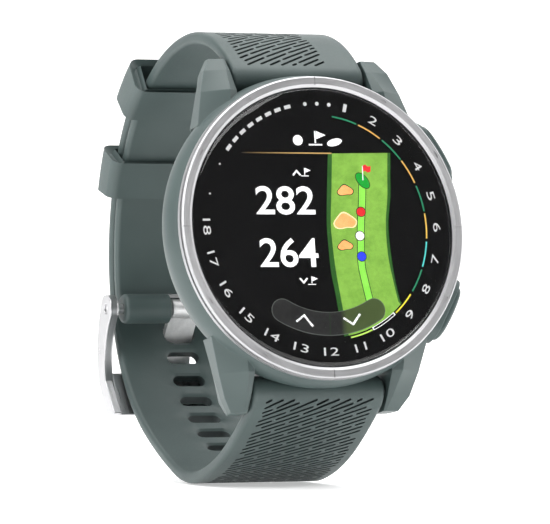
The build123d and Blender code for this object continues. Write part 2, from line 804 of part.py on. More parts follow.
finish(buckle_frame, "buckle_frame")

with BuildPart() as buckle_tongue:
    with BuildSketch(side):
        with BuildLine() as centre_line:
            FilletPolyline((pin_deep, pin_up), on_wrist(33.5, -13.2), on_wrist(tongue_radius + 0.3, -18.8),
                           on_wrist(tongue_radius, -24.5), on_wrist(tongue_radius, -30.6), radius=(1.2, 3, 20))
        trace(centre_line.edges(), line_width=tongue_thickness)
        with Locations((pin_deep, pin_up)):
            Circle(1.4)
            Circle(pin_radius + 0.05, mode=Mode.SUBTRACT)
    extrude(amount=tongue_width / 2, both=True)
finish(buckle_tongue, "buckle_tongue")


# ---------------------------------------------------------------- keepers
def keeper(start, end, name):
    with BuildPart() as loop:
        with BuildSketch(side):
            wrist_sector(keeper_inner, keeper_outer, start, end)
        extrude(amount=keeper_width / 2, both=True)
        corner_edges = loop.edges().filter_by(GeomType.CIRCLE)
        fillet(corner_edges, radius=0.8)
        with BuildSketch(side):
            wrist_sector(rear_radius - strap_thickness - 0.25, tail_radius + 0.15, start - 2, end + 2)
        extrude(amount=strap_width / 2 + 0.3, both=True, mode=Mode.SUBTRACT)
    finish(loop, name)


keeper(51.8, 63.6, "upper_keeper")
keeper(25.8, 36.8, "lower_keeper")
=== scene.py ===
"""Looks of a golf GPS watch: silicone strap, brushed ring, lit screen, buckle and every inner piece."""

import json
from math import acos, asin, atan2, ceil, cos, degrees, hypot, pi, radians, sin, sqrt

import bmesh
import bpy
from mathutils import Matrix, Vector
from mathutils.geometry import delaunay_2d_cdt


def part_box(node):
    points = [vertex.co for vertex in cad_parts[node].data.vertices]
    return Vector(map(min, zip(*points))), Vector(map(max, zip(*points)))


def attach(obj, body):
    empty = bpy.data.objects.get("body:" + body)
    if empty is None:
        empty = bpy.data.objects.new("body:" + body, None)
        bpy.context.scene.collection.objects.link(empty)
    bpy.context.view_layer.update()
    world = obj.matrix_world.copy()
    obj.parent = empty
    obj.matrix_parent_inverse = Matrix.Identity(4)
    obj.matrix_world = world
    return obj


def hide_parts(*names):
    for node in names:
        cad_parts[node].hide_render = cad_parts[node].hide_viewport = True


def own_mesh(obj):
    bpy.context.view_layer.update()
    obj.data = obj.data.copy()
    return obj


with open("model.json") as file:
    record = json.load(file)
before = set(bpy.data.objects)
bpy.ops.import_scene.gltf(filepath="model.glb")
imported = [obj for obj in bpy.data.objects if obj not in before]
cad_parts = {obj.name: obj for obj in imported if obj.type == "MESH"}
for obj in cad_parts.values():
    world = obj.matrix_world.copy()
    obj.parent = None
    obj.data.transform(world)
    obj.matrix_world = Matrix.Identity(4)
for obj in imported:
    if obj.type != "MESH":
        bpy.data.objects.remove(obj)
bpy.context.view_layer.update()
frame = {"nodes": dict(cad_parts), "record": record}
MM = 0.001

# ---------------- the watch's own directions
# Own coordinates are (across, up, front) in mm, from the centre of the ring's front plane.
lean = radians(9.4)
gasket_depth = 10.4          # middle of the rear gasket behind the ring's front plane, mm
front = Vector((0, -cos(lean), sin(lean)))
up = Vector((0, sin(lean), cos(lean)))
across = Vector((1, 0, 0))
gasket_low, gasket_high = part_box("rear_gasket")
face_centre = (gasket_low + gasket_high) / 2 + front * gasket_depth * MM
WATCH = Matrix.Translation(face_centre) @ Matrix(
    [[across[i], up[i], front[i], 0] for i in range(3)] + [[0, 0, 0, 1]])
TO_WATCH = WATCH.inverted()


# ---------------- mesh helpers
def add_mesh(name, vertices, faces, material, matrix=WATCH, smooth_angle=35, shaded_faces=(), shade_material=None):
    """Object from points in mm in the matrix's frame. Listed faces may take a second material, used for
    painted shade.
    """
    mesh = bpy.data.meshes.new(name)
    mesh.from_pydata([tuple(c * MM for c in v) for v in vertices], [], faces)
    for index in shaded_faces:
        mesh.polygons[index].material_index = 1
    piece = wrap_mesh(name, mesh, material, matrix, smooth_angle)
    if shade_material:
        piece.data.materials.append(shade_material)
    return piece


def wrap_mesh(name, mesh, material, matrix=WATCH, smooth_angle=35):
    """Object with its points moved into the row frame, closed and shaded smooth."""
    mesh.transform(matrix)
    work = bmesh.new()
    work.from_mesh(mesh)
    bmesh.ops.remove_doubles(work, verts=work.verts, dist=1e-7)
    bmesh.ops.recalc_face_normals(work, faces=work.faces)
    work.to_mesh(mesh)
    work.free()
    mesh.shade_smooth()
    mesh.set_sharp_from_angle(angle=radians(smooth_angle))
    piece = bpy.data.objects.new(name, mesh)
    bpy.context.scene.collection.objects.link(piece)
    piece.data.materials.append(material)
    return piece


def bore_in(work, centre, radius, reach=12, segments=32):
    """Round column along across in a bmesh, about a (deep, up) centre in mm."""
    rings = []
    for x in (-reach, reach):
        ring = []
        for i in range(segments):
            a = 2 * pi * i / segments
            deep, height = centre[0] + radius * cos(a), centre[1] + radius * sin(a)
            ring.append(work.verts.new((deep * MM, height * MM, x * MM)))
        rings.append(ring)
    work.faces.new(list(reversed(rings[0])))
    work.faces.new(rings[1])
    for i in range(segments):
        j = (i + 1) % segments
        work.faces.new((rings[0][i], rings[0][j], rings[1][j], rings[1][i]))


def slab(name, outlines, low, high, material):
    """Thin plate from closed (across, up) outlines in mm."""
    vertices, faces = [], []
    for outline in outlines:
        n, start = len(outline), len(vertices)
        vertices += [(x, y, z) for z in (low, high) for x, y in outline]
        faces.append([start + i for i in reversed(range(n))])
        faces.append([start + n + i for i in range(n)])
        for i in range(n):
            j = (i + 1) % n
            faces.append((start + i, start + j, start + n + j, start + n + i))
    return add_mesh(name, vertices, faces, material, smooth_angle=20)


def lathe(name, profile, material, segments=224):
    """Turn a closed (radius, front) outline about the watch's axis."""
    vertices, faces, n = [], [], len(profile)
    for i in range(segments):
        a = 2 * pi * i / segments
        vertices += [(r * cos(a), r * sin(a), z) for r, z in profile]
    for i in range(segments):
        for k in range(n):
            a, b = i * n, ((i + 1) % segments) * n
            faces.append((a + k, b + k, b + (k + 1) % n, a + (k + 1) % n))
    return add_mesh(name, vertices, faces, material)


def cut(piece, cutter):
    """Take one solid out of a piece and drop the cutter."""
    bpy.context.view_layer.update()
    change = piece.modifiers.new("cut", "BOOLEAN")
    change.operation, change.solver, change.object = "DIFFERENCE", "EXACT", cutter
    bpy.context.view_layer.update()
    result = bpy.data.meshes.new_from_object(piece.evaluated_get(bpy.context.evaluated_depsgraph_get()))
    piece.modifiers.clear()
    piece.data = result
    bpy.data.objects.remove(cutter)
    result.shade_smooth()
    result.set_sharp_from_angle(angle=radians(35))
    return piece


def cutter_from(work):
    """Object from a bmesh in SIDE coordinates."""
    bmesh.ops.recalc_face_normals(work, faces=work.faces)
    mesh = bpy.data.meshes.new("cutter")
    work.to_mesh(mesh)
    work.free()
    mesh.transform(SIDE)
    piece = bpy.data.objects.new("cutter", mesh)
    bpy.context.scene.collection.objects.link(piece)
    return piece


def box_in(work, low, high):
    """Block in a bmesh between two corners in mm."""
    corners = [work.verts.new((x * MM, y * MM, z * MM))
               for x in (low[0], high[0]) for y in (low[1], high[1]) for z in (low[2], high[2])]
    for a, b, c, d in ((0, 1, 3, 2), (4, 6, 7, 5), (0, 4, 5, 1), (2, 3, 7, 6), (0, 2, 6, 4), (1, 5, 7, 3)):
        work.faces.new((corners[a], corners[b], corners[c], corners[d]))


# ---------------- material helpers
class Shader:
    """Small wrapper that builds one node material."""

    def __init__(self, name):
        self.material = bpy.data.materials.new(name)
        self.material.use_nodes = True
        self.nodes, self.links = self.material.node_tree.nodes, self.material.node_tree.links
        self.base = self.nodes["Principled BSDF"]
        self.place = self.add("ShaderNodeTexCoord").outputs["Object"]
        own = self.add("ShaderNodeMapping", Location=TO_WATCH.translation, Rotation=TO_WATCH.to_euler())
        self.join(self.place, own.inputs["Vector"])
        self.own = own.outputs["Vector"]

    def add(self, kind, **values):
        node = self.nodes.new(kind)
        for key, value in values.items():
            if key in node.inputs:
                node.inputs[key].default_value = value
            else:
                setattr(node, key.lower(), value)
        return node

    def join(self, source, target):
        self.links.new(source, target)

    def stretched(self, x, y, z):
        """Object coordinates with a scale in cycles per mm."""
        node = self.add("ShaderNodeMapping", Scale=(x / MM, y / MM, z / MM))
        self.join(self.own, node.inputs["Vector"])
        return node.outputs["Vector"]

    def noise(self, vector, detail=3.0, roughness=0.55):
        node = self.add("ShaderNodeTexNoise", Scale=1.0, Detail=detail, Roughness=roughness)
        self.join(vector, node.inputs["Vector"])
        return node.outputs["Fac"]

    def ramp(self, source, stops):
        node = self.add("ShaderNodeValToRGB")
        elements = node.color_ramp.elements
        while len(elements) < len(stops):
            elements.new(0.5)
        for element, (position, color) in zip(elements, stops):
            element.position = position
            element.color = (*color, 1) if len(color) == 3 else color
        self.join(source, node.inputs["Fac"])
        return node.outputs["Color"]

    def number(self, source, low, high, start=0.0, end=1.0):
        node = self.add("ShaderNodeMapRange")
        for key, value in (("From Min", start), ("From Max", end), ("To Min", low), ("To Max", high)):
            node.inputs[key].default_value = value
        self.join(source, node.inputs["Value"])
        return node.outputs["Result"]

    def math(self, operation, a, b=None):
        node = self.add("ShaderNodeMath")
        node.operation = operation
        for socket, value in zip(node.inputs, (a, b)):
            if value is None:
                continue
            if isinstance(value, (int, float)):
                socket.default_value = value
            else:
                self.join(value, socket)
        return node.outputs[0]

    def axes(self):
        """Across, up and front in metres, from the centre of the ring's front plane."""
        node = self.add("ShaderNodeSeparateXYZ")
        self.join(self.own, node.inputs[0])
        return node.outputs

    def mix(self, factor, a, b):
        node = self.add("ShaderNodeMix")
        node.data_type = "RGBA"
        self.join(factor, node.inputs["Factor"])
        for key, value in ((6, a), (7, b)):
            if isinstance(value, tuple):
                node.inputs[key].default_value = (*value, 1)
            else:
                self.join(value, node.inputs[key])
        return node.outputs[2]

    def bump(self, height, distance_mm, strength=1.0, soften_mm=0.0):
        node = self.add("ShaderNodeBump", Strength=strength, Distance=distance_mm * MM)
        self.join(height, node.inputs["Height"])
        if soften_mm:
            soft = self.add("ShaderNodeBevel", Radius=soften_mm * MM)
            soft.samples = 6
            self.join(soft.outputs[0], node.inputs["Normal"])
        self.join(node.outputs[0], self.base.inputs["Normal"])

    def edges(self, radius_mm):
        """1 on convex or concave edges, 0 on open surfaces."""
        soft = self.add("ShaderNodeBevel", Radius=radius_mm * MM)
        soft.samples = 6
        true = self.add("ShaderNodeNewGeometry")
        node = self.add("ShaderNodeVectorMath")
        node.operation = "DOT_PRODUCT"
        self.join(soft.outputs[0], node.inputs[0])
        self.join(true.outputs["Normal"], node.inputs[1])
        return self.number(node.outputs["Value"], 1.0, 0.0, 0.72, 0.99)

    def set(self, **values):
        for key, value in values.items():
            socket = self.base.inputs[key.replace("_", " ")]
            if isinstance(value, tuple) and len(value) == 3:
                value = (*value, 1)
            if isinstance(value, (int, float, tuple)):
                socket.default_value = value
            else:
                self.join(value, socket)


def moulded(name, dark, light, roughness=0.5, grain=9.0, depth=0.02, soften=0.0, edge=None, sheen=0.0):
    """Moulded plastic or silicone: drifting tone, fine grain, softened edges, and an optional painted
    highlight that lightens every edge.
    """
    s = Shader(name)
    drift = s.noise(s.stretched(0.08, 0.08, 0.08), 2.0)
    color = s.ramp(drift, [(0.35, dark), (0.68, light)])
    fine = s.noise(s.stretched(grain, grain, grain), 4.0, 0.65)
    if edge:
        # painted highlight: the edge colour is mixed in along every edge, where light would catch the
        # rounding
        color = s.mix(s.edges(0.22), color, edge)
    s.set(Base_Color=color, Roughness=s.number(fine, roughness - 0.06, roughness + 0.08, 0.3, 0.7))
    s.set(Sheen_Weight=sheen, Sheen_Roughness=0.4)
    s.bump(fine, depth, 0.5, soften)
    return s.material


def metal(name, color, roughness, stretch, depth=0.006, soften=0.0, spread=0.12, body=1.0):
    """Drawn or brushed metal with scratches stretched along one direction."""
    s = Shader(name)
    lines = s.noise(s.stretched(*stretch), 5.0, 0.7)
    tone = tuple(c * 0.82 for c in color)
    s.set(Base_Color=s.ramp(lines, [(0.3, tone), (0.7, color)]), Metallic=body)
    s.set(Roughness=s.number(lines, roughness - spread / 2, roughness + spread, 0.3, 0.7))
    s.bump(lines, depth, 0.35, soften)
    return s.material


def turned_metal(name, color, roughness, anisotropy, grain=16.0, depth=0.004):
    """Metal brushed in circles about the watch's axis."""
    s = Shader(name)
    x, y, z = s.axes()
    radius = s.math("SQRT", s.math("ADD", s.math("MULTIPLY", x, x), s.math("MULTIPLY", y, y)))
    angle = s.math("ARCTAN2", y, x)
    polar = s.add("ShaderNodeCombineXYZ")
    s.join(s.math("MULTIPLY", radius, grain / MM), polar.inputs[0])
    s.join(s.math("MULTIPLY", angle, 5.0), polar.inputs[1])
    s.join(s.math("MULTIPLY", z, grain / MM), polar.inputs[2])
    lines = s.noise(polar.outputs[0], 4.0, 0.7)
    tone = tuple(c * 0.84 for c in color)
    s.set(Base_Color=s.ramp(lines, [(0.3, tone), (0.7, color)]), Metallic=1.0)
    s.set(Roughness=s.number(lines, roughness - 0.05, roughness + 0.1, 0.3, 0.7), Anisotropic=anisotropy)
    tangent = s.add("ShaderNodeVectorMath")
    tangent.operation = "CROSS_PRODUCT"
    tangent.inputs[0].default_value = front
    away = s.add("ShaderNodeVectorMath")
    away.operation = "SUBTRACT"
    s.join(s.place, away.inputs[0])
    away.inputs[1].default_value = face_centre
    s.join(away.outputs[0], tangent.inputs[1])
    s.join(tangent.outputs[0], s.base.inputs["Tangent"])
    s.bump(lines, depth, 0.3)
    return s.material


def printed(name, color, glow, roughness=0.45):
    """Printed or lit colour with a fine dot raster, so it isn't one flat tone; glow is the screen's own light
    on screen graphics and painted light on the dial ink.
    """
    s = Shader(name)
    dots = s.noise(s.stretched(7.0, 7.0, 7.0), 2.0)
    shade = tuple(c * 0.86 for c in color)
    tone = s.ramp(dots, [(0.3, shade), (0.7, color)])
    s.set(Base_Color=tone, Roughness=roughness, Emission_Color=tone, Emission_Strength=glow)
    return s.material


SLATE_DARK, SLATE_LIGHT = (0.042, 0.064, 0.062), (0.056, 0.081, 0.078)
# painted highlight colour for the rounded edges of the slate case and buttons
SLATE_EDGE_HIGHLIGHT = (0.095, 0.130, 0.126)

# ---------------- materials
silicone = moulded("strap_silicone", (0.038, 0.059, 0.057), (0.051, 0.075, 0.072), roughness=0.5,
                   grain=6.0, depth=0.003, sheen=0.05)
keeper_silicone = moulded("keeper_silicone", (0.041, 0.062, 0.060), (0.054, 0.079, 0.076), roughness=0.47,
                          grain=6.0, depth=0.003, sheen=0.05)
# painted shade: near-black silicone for slot walls and dent floors, where shade falls
recess_shade_silicone = moulded("recess_shade_silicone", (0.012, 0.020, 0.020), (0.020, 0.031, 0.031), roughness=0.65,
                          grain=8.0)
case_polymer = moulded("case_polymer", SLATE_DARK, SLATE_LIGHT, roughness=0.46, grain=14.0, depth=0.008,
                       soften=0.22, edge=SLATE_EDGE_HIGHLIGHT)
button_polymer = moulded("button_polymer", SLATE_DARK, SLATE_LIGHT, roughness=0.4, grain=14.0, depth=0.006,
                         soften=0.1, edge=SLATE_EDGE_HIGHLIGHT)
ring_metal = turned_metal("ring_metal", (0.50, 0.50, 0.51), 0.46, 0.35, grain=5.0, depth=0.0006)
buckle_brushed = metal("buckle_brushed", (0.60, 0.60, 0.61), 0.3, (5.0, 0.12, 0.12), depth=0.0002,
                       soften=0.35)
polished = metal("polished_metal", (0.86, 0.86, 0.87), 0.3, (0.8, 0.8, 0.8), depth=0.0002, soften=0.12,
                 spread=0.08)
satin = metal("satin_metal", (0.92, 0.92, 0.92), 0.42, (0.8, 0.8, 0.8), depth=0.0002, soften=0.2, body=0.7)
spring_wire = metal("spring_wire", (0.62, 0.63, 0.66), 0.2, (2.0, 12.0, 12.0))
motor_can = metal("motor_can", (0.55, 0.56, 0.58), 0.28, (0.8, 14.0, 14.0))
tungsten = metal("sintered_tungsten", (0.30, 0.29, 0.28), 0.5, (12.0, 12.0, 12.0), depth=0.02)
buzzer_brass = turned_metal("buzzer_brass", (0.66, 0.47, 0.20), 0.34, 0.2, grain=6.0)
gold = metal("contact_gold", (0.83, 0.58, 0.22), 0.2, (6.0, 6.0, 6.0), soften=0.08)
# painted highlight: the edge colour lightens every edge of the black plastic
black_plastic = moulded("black_plastic", (0.010, 0.011, 0.012), (0.020, 0.021, 0.023), roughness=0.5,
                        grain=7.0, depth=0.02, soften=0.1, edge=(0.05, 0.052, 0.055))
# painted highlight: the edge colour lightens every edge of the chip resin
chip_resin = moulded("chip_resin", (0.010, 0.010, 0.011), (0.022, 0.022, 0.024), roughness=0.6, grain=12.0,
                     depth=0.01, soften=0.06, edge=(0.06, 0.06, 0.065))
gasket_rubber = moulded("gasket_rubber", (0.014, 0.014, 0.016), (0.026, 0.026, 0.029), roughness=0.7,
                        grain=5.0, sheen=0.2)
foam = moulded("adhesive_foam", (0.012, 0.012, 0.012), (0.030, 0.030, 0.031), roughness=0.85, grain=5.0,
               depth=0.05)


def insert_brass_material():
    s = Shader("insert_brass")
    wave = s.add("ShaderNodeTexWave", Scale=1.0, Distortion=0.3)
    wave.bands_direction = "DIAGONAL"
    s.join(s.stretched(1.4, 1.4, 1.4), wave.inputs["Vector"])
    s.set(Base_Color=s.ramp(wave.outputs["Fac"], [(0.2, (0.42, 0.29, 0.11)), (0.8, (0.72, 0.52, 0.22))]))
    s.set(Metallic=1.0, Roughness=0.32)
    s.bump(wave.outputs["Fac"], 0.08)
    return s.material


def board_material():
    """Green solder mask with paler copper runs and plated vias."""
    s = Shader("board_laminate")
    bricks = s.add("ShaderNodeTexBrick", Scale=1.0)
    bricks.inputs["Mortar Size"].default_value = 0.035
    bricks.inputs["Brick Width"].default_value = 0.9
    s.join(s.stretched(0.8, 0.8, 0.8), bricks.inputs["Vector"])
    cells = s.add("ShaderNodeTexVoronoi", Scale=1.0)
    s.join(s.stretched(0.7, 0.7, 0.7), cells.inputs["Vector"])
    via = s.number(cells.outputs["Distance"], 1.0, 0.0, 0.10, 0.14)
    tracks = s.ramp(bricks.outputs["Fac"], [(0.4, (0.008, 0.075, 0.040)), (0.6, (0.020, 0.16, 0.085))])
    s.set(Base_Color=s.mix(via, tracks, (0.62, 0.46, 0.18)), Roughness=0.32, Coat_Weight=0.3)
    s.bump(bricks.outputs["Fac"], 0.03, 0.6, 0.05)
    return s.material


def shield_material():
    """Tinned sheet with a grid of small punched dimples, each filled with near-black painted shade."""
    s = Shader("shield_sheet")
    x, y, _ = s.axes()
    dimples = s.math("MULTIPLY", s.math("SINE", s.math("MULTIPLY", x, 3.2 / MM)),
                     s.math("SINE", s.math("MULTIPLY", y, 3.2 / MM)))
    holes = s.number(dimples, 0.0, 1.0, 0.72, 0.86)
    grain = s.noise(s.stretched(1.5, 10.0, 10.0), 4.0)
    sheet = s.ramp(grain, [(0.3, (0.46, 0.47, 0.48)), (0.7, (0.64, 0.65, 0.66))])
    # painted shade: the dimples are mixed to near-black, where shade falls in them
    s.set(Base_Color=s.mix(holes, sheet, (0.05, 0.05, 0.055)), Metallic=1.0, Roughness=0.33)
    s.bump(dimples, 0.03, 0.4, 0.1)
    return s.material


def cell_material():
    """Crinkled foil pouch with an amber tape band across the terrace."""
    s = Shader("cell_foil")
    creases = s.add("ShaderNodeTexVoronoi", Scale=1.0)
    creases.feature = "DISTANCE_TO_EDGE"
    s.join(s.stretched(0.16, 0.16, 0.16), creases.inputs["Vector"])
    fine = s.noise(s.stretched(1.2, 1.2, 1.2), 3.0)
    foil = s.ramp(fine, [(0.3, (0.42, 0.43, 0.44)), (0.7, (0.56, 0.57, 0.58))])
    y = s.axes()[1]
    band = s.math("GREATER_THAN", y, 6.4 * MM)
    s.set(Base_Color=s.mix(band, foil, (0.55, 0.24, 0.03)), Metallic=0.75, Roughness=0.36)
    s.bump(creases.outputs["Distance"], 0.12, 0.35, 0.3)
    return s.material


def flex_material():
    """Amber film with fine copper tracks."""
    s = Shader("flex_film")
    x = s.axes()[0]
    tracks = s.math("SINE", s.math("MULTIPLY", x, 14.0 / MM))
    dust = s.noise(s.stretched(3.0, 3.0, 3.0), 2.0)
    film = s.ramp(tracks, [(0.35, (0.40, 0.17, 0.02)), (0.65, (0.66, 0.34, 0.10))])
    s.set(Base_Color=film, Roughness=s.number(dust, 0.25, 0.45), Coat_Weight=0.2)
    s.bump(tracks, 0.02, 0.5)
    return s.material


def antenna_material():
    """Etched gold-plated strip with a darker carrier showing between its turns."""
    s = Shader("antenna_strip")
    x, y, _ = s.axes()
    bands = s.math("SINE", s.math("MULTIPLY", s.math("ADD", x, y), 2.4 / MM))
    grain = s.noise(s.stretched(6.0, 6.0, 6.0), 3.0)
    strip = s.ramp(grain, [(0.3, (0.60, 0.42, 0.15)), (0.7, (0.78, 0.58, 0.26))])
    s.set(Base_Color=s.mix(s.number(bands, 0.0, 1.0, 0.80, 0.9), strip, (0.03, 0.03, 0.035)))
    s.set(Metallic=0.9, Roughness=0.3)
    s.bump(grain, 0.006, 0.4, 0.06)
    return s.material


def glass_material():
    s = Shader("cover_glass")
    smear = s.noise(s.stretched(0.12, 0.12, 0.12), 4.0)
    s.set(Base_Color=(1.0, 1.0, 1.0), Transmission_Weight=1.0, IOR=1.46)
    s.set(Roughness=s.number(smear, 0.0, 0.035, 0.35, 0.8))
    s.bump(smear, 0.0006, 0.05)
    return s.material


def panel_material():
    """Black display with the faint grid of its pixels."""
    s = Shader("display_black")
    x, y, _ = s.axes()
    grid = s.math("MULTIPLY", s.math("SINE", s.math("MULTIPLY", x, 30.0 / MM)),
                  s.math("SINE", s.math("MULTIPLY", y, 30.0 / MM)))
    s.set(Base_Color=s.ramp(grid, [(0.4, (0.002, 0.002, 0.0025)), (0.6, (0.005, 0.005, 0.006))]))
    s.set(Roughness=0.22)
    s.bump(grid, 0.001, 0.1)
    return s.material


def rule_material(start, end):
    """Gold line that fades out towards its left end."""
    s = Shader("screen_gold_line")
    x = s.axes()[0]
    share = s.number(x, 0.0, 1.0, start * MM, end * MM)
    tone = s.ramp(share, [(0.0, (0.002, 0.0015, 0.001)), (1.0, (0.50, 0.31, 0.10))])
    s.set(Base_Color=tone, Emission_Color=tone, Emission_Strength=0.9, Roughness=0.5)
    return s.material


def fairway_material(name, dark, light, glow):
    """Mown grass: soft patches with fine speckle."""
    s = Shader(name)
    patches = s.noise(s.stretched(0.5, 0.5, 0.5), 6.0, 0.7)
    tone = s.ramp(patches, [(0.32, dark), (0.68, light)])
    s.set(Base_Color=tone, Emission_Color=tone, Emission_Strength=glow, Roughness=0.5)
    return s.material


# ---------------- strap outlines
# Outlines lie in the (deep, up) plane: deep is the distance behind the ring's front plane.
SIDE = WATCH @ Matrix(((0, 0, 1, 0), (0, 1, 0, 0), (-1, 0, 0, 0), (0, 0, 0, 1)))     # (deep, up, across)
strap_half = 9.8
thickness = 1.7
wrist = (22.9, 0.0)
rear_radius, crown_radius, tail_radius = 31.1, 21.7, 33.2
bar_deep, bar_up, nose_radius = 7.4, 21.75, 2.3
pin = (51.3, -3.3)
barrel_radius = 2.15
pin_bore, bar_bore = 0.72, 0.8
tail_start, tail_leaves = 58.0, -12.0
underside = [(46.0, -22.5), (36.0, -29.4), (27.0, -31.5), (15.0, -28.6), (6.2, -23.9)]
step = 0.75                  # longest side of an outline along its arcs


def along(centre, radius, start, sweep):
    """Points in (deep, up) along an arc, angles in degrees."""
    count = max(2, ceil(abs(radians(sweep)) * radius / step))
    return [(centre[0] + radius * cos(radians(start + sweep * i / count)),
             centre[1] + radius * sin(radians(start + sweep * i / count))) for i in range(count + 1)]


def around(centre, radius, start, end):
    """Points clockwise round a small circle from one angle to a lower one."""
    count = max(3, ceil((start - end) / 11))
    return [(centre[0] + radius * cos(radians(start + (end - start) * i / count)),
             centre[1] + radius * sin(radians(start + (end - start) * i / count))) for i in range(count + 1)]


def bearing(centre, point):
    return degrees(atan2(point[1] - centre[1], point[0] - centre[0]))


def on_wrist(radius, angle):
    return (wrist[0] + radius * cos(radians(angle)), wrist[1] + radius * sin(radians(angle)))


def tangent_arcs(point, heading, targets):
    """Arcs (centre, radius, start, sweep) through each target, each tangent to the one before."""
    arcs = []
    for target in targets:
        chord = hypot(target[0] - point[0], target[1] - point[1])
        turn = atan2(target[1] - point[1], target[0] - point[0]) - heading
        turn = (turn + pi) % (2 * pi) - pi
        radius = chord / (2 * sin(turn))
        centre = (point[0] - radius * sin(heading), point[1] + radius * cos(heading))
        arcs.append((centre, abs(radius), bearing(centre, point), degrees(2 * turn)))
        point, heading = target, heading + 2 * turn
    return arcs


def until(points, centre, radius):
    """The run of points before it enters a circle."""
    kept = []
    for point in points:
        if hypot(point[0] - centre[0], point[1] - centre[1]) < radius:
            break
        kept.append(point)
    return kept


def clean(points, least=0.05):
    kept = [points[0]]
    for point in points[1:]:
        if hypot(point[0] - kept[-1][0], point[1] - kept[-1][1]) > least:
            kept.append(point)
    if hypot(kept[0][0] - kept[-1][0], kept[0][1] - kept[-1][1]) < least:
        kept.pop()
    return kept


class Outline:
    """Closed clockwise outline with inward normals and lengths, and a point at any length along it."""

    def __init__(self, points):
        self.points = clean(points)
        n = len(self.points)
        self.lengths, self.normals = [0.0], []
        for i in range(n):
            a, b, c = self.points[i - 1], self.points[i], self.points[(i + 1) % n]
            self.lengths.append(self.lengths[-1] + hypot(c[0] - b[0], c[1] - b[1]))
            d1 = Vector((b[0] - a[0], b[1] - a[1])).normalized()
            d2 = Vector((c[0] - b[0], c[1] - b[1])).normalized()
            middle = (d1 + d2).normalized()
            inward = Vector((middle.y, -middle.x))
            self.normals.append(inward / max(0.55, inward.dot(Vector((d2.y, -d2.x)))))
        self.total = self.lengths[-1]

    def at(self, length, inset=0.0):
        length %= self.total
        low, high = 0, len(self.points)
        while high - low > 1:
            middle = (low + high) // 2
            if self.lengths[middle] <= length:
                low = middle
            else:
                high = middle
        share = (length - self.lengths[low]) / (self.lengths[low + 1] - self.lengths[low])
        after = (low + 1) % len(self.points)
        a, b, m, n = self.points[low], self.points[after], self.normals[low], self.normals[after]
        return (a[0] + (b[0] - a[0]) * share + (m.x + (n.x - m.x) * share) * inset,
                a[1] + (b[1] - a[1]) * share + (m.y + (n.y - m.y) * share) * inset)

    def nearest(self, point):
        """Length along the outline of its vertex nearest to a point."""
        best = min(range(len(self.points)),
                   key=lambda i: hypot(self.points[i][0] - point[0], self.points[i][1] - point[1]))
        return self.lengths[best]


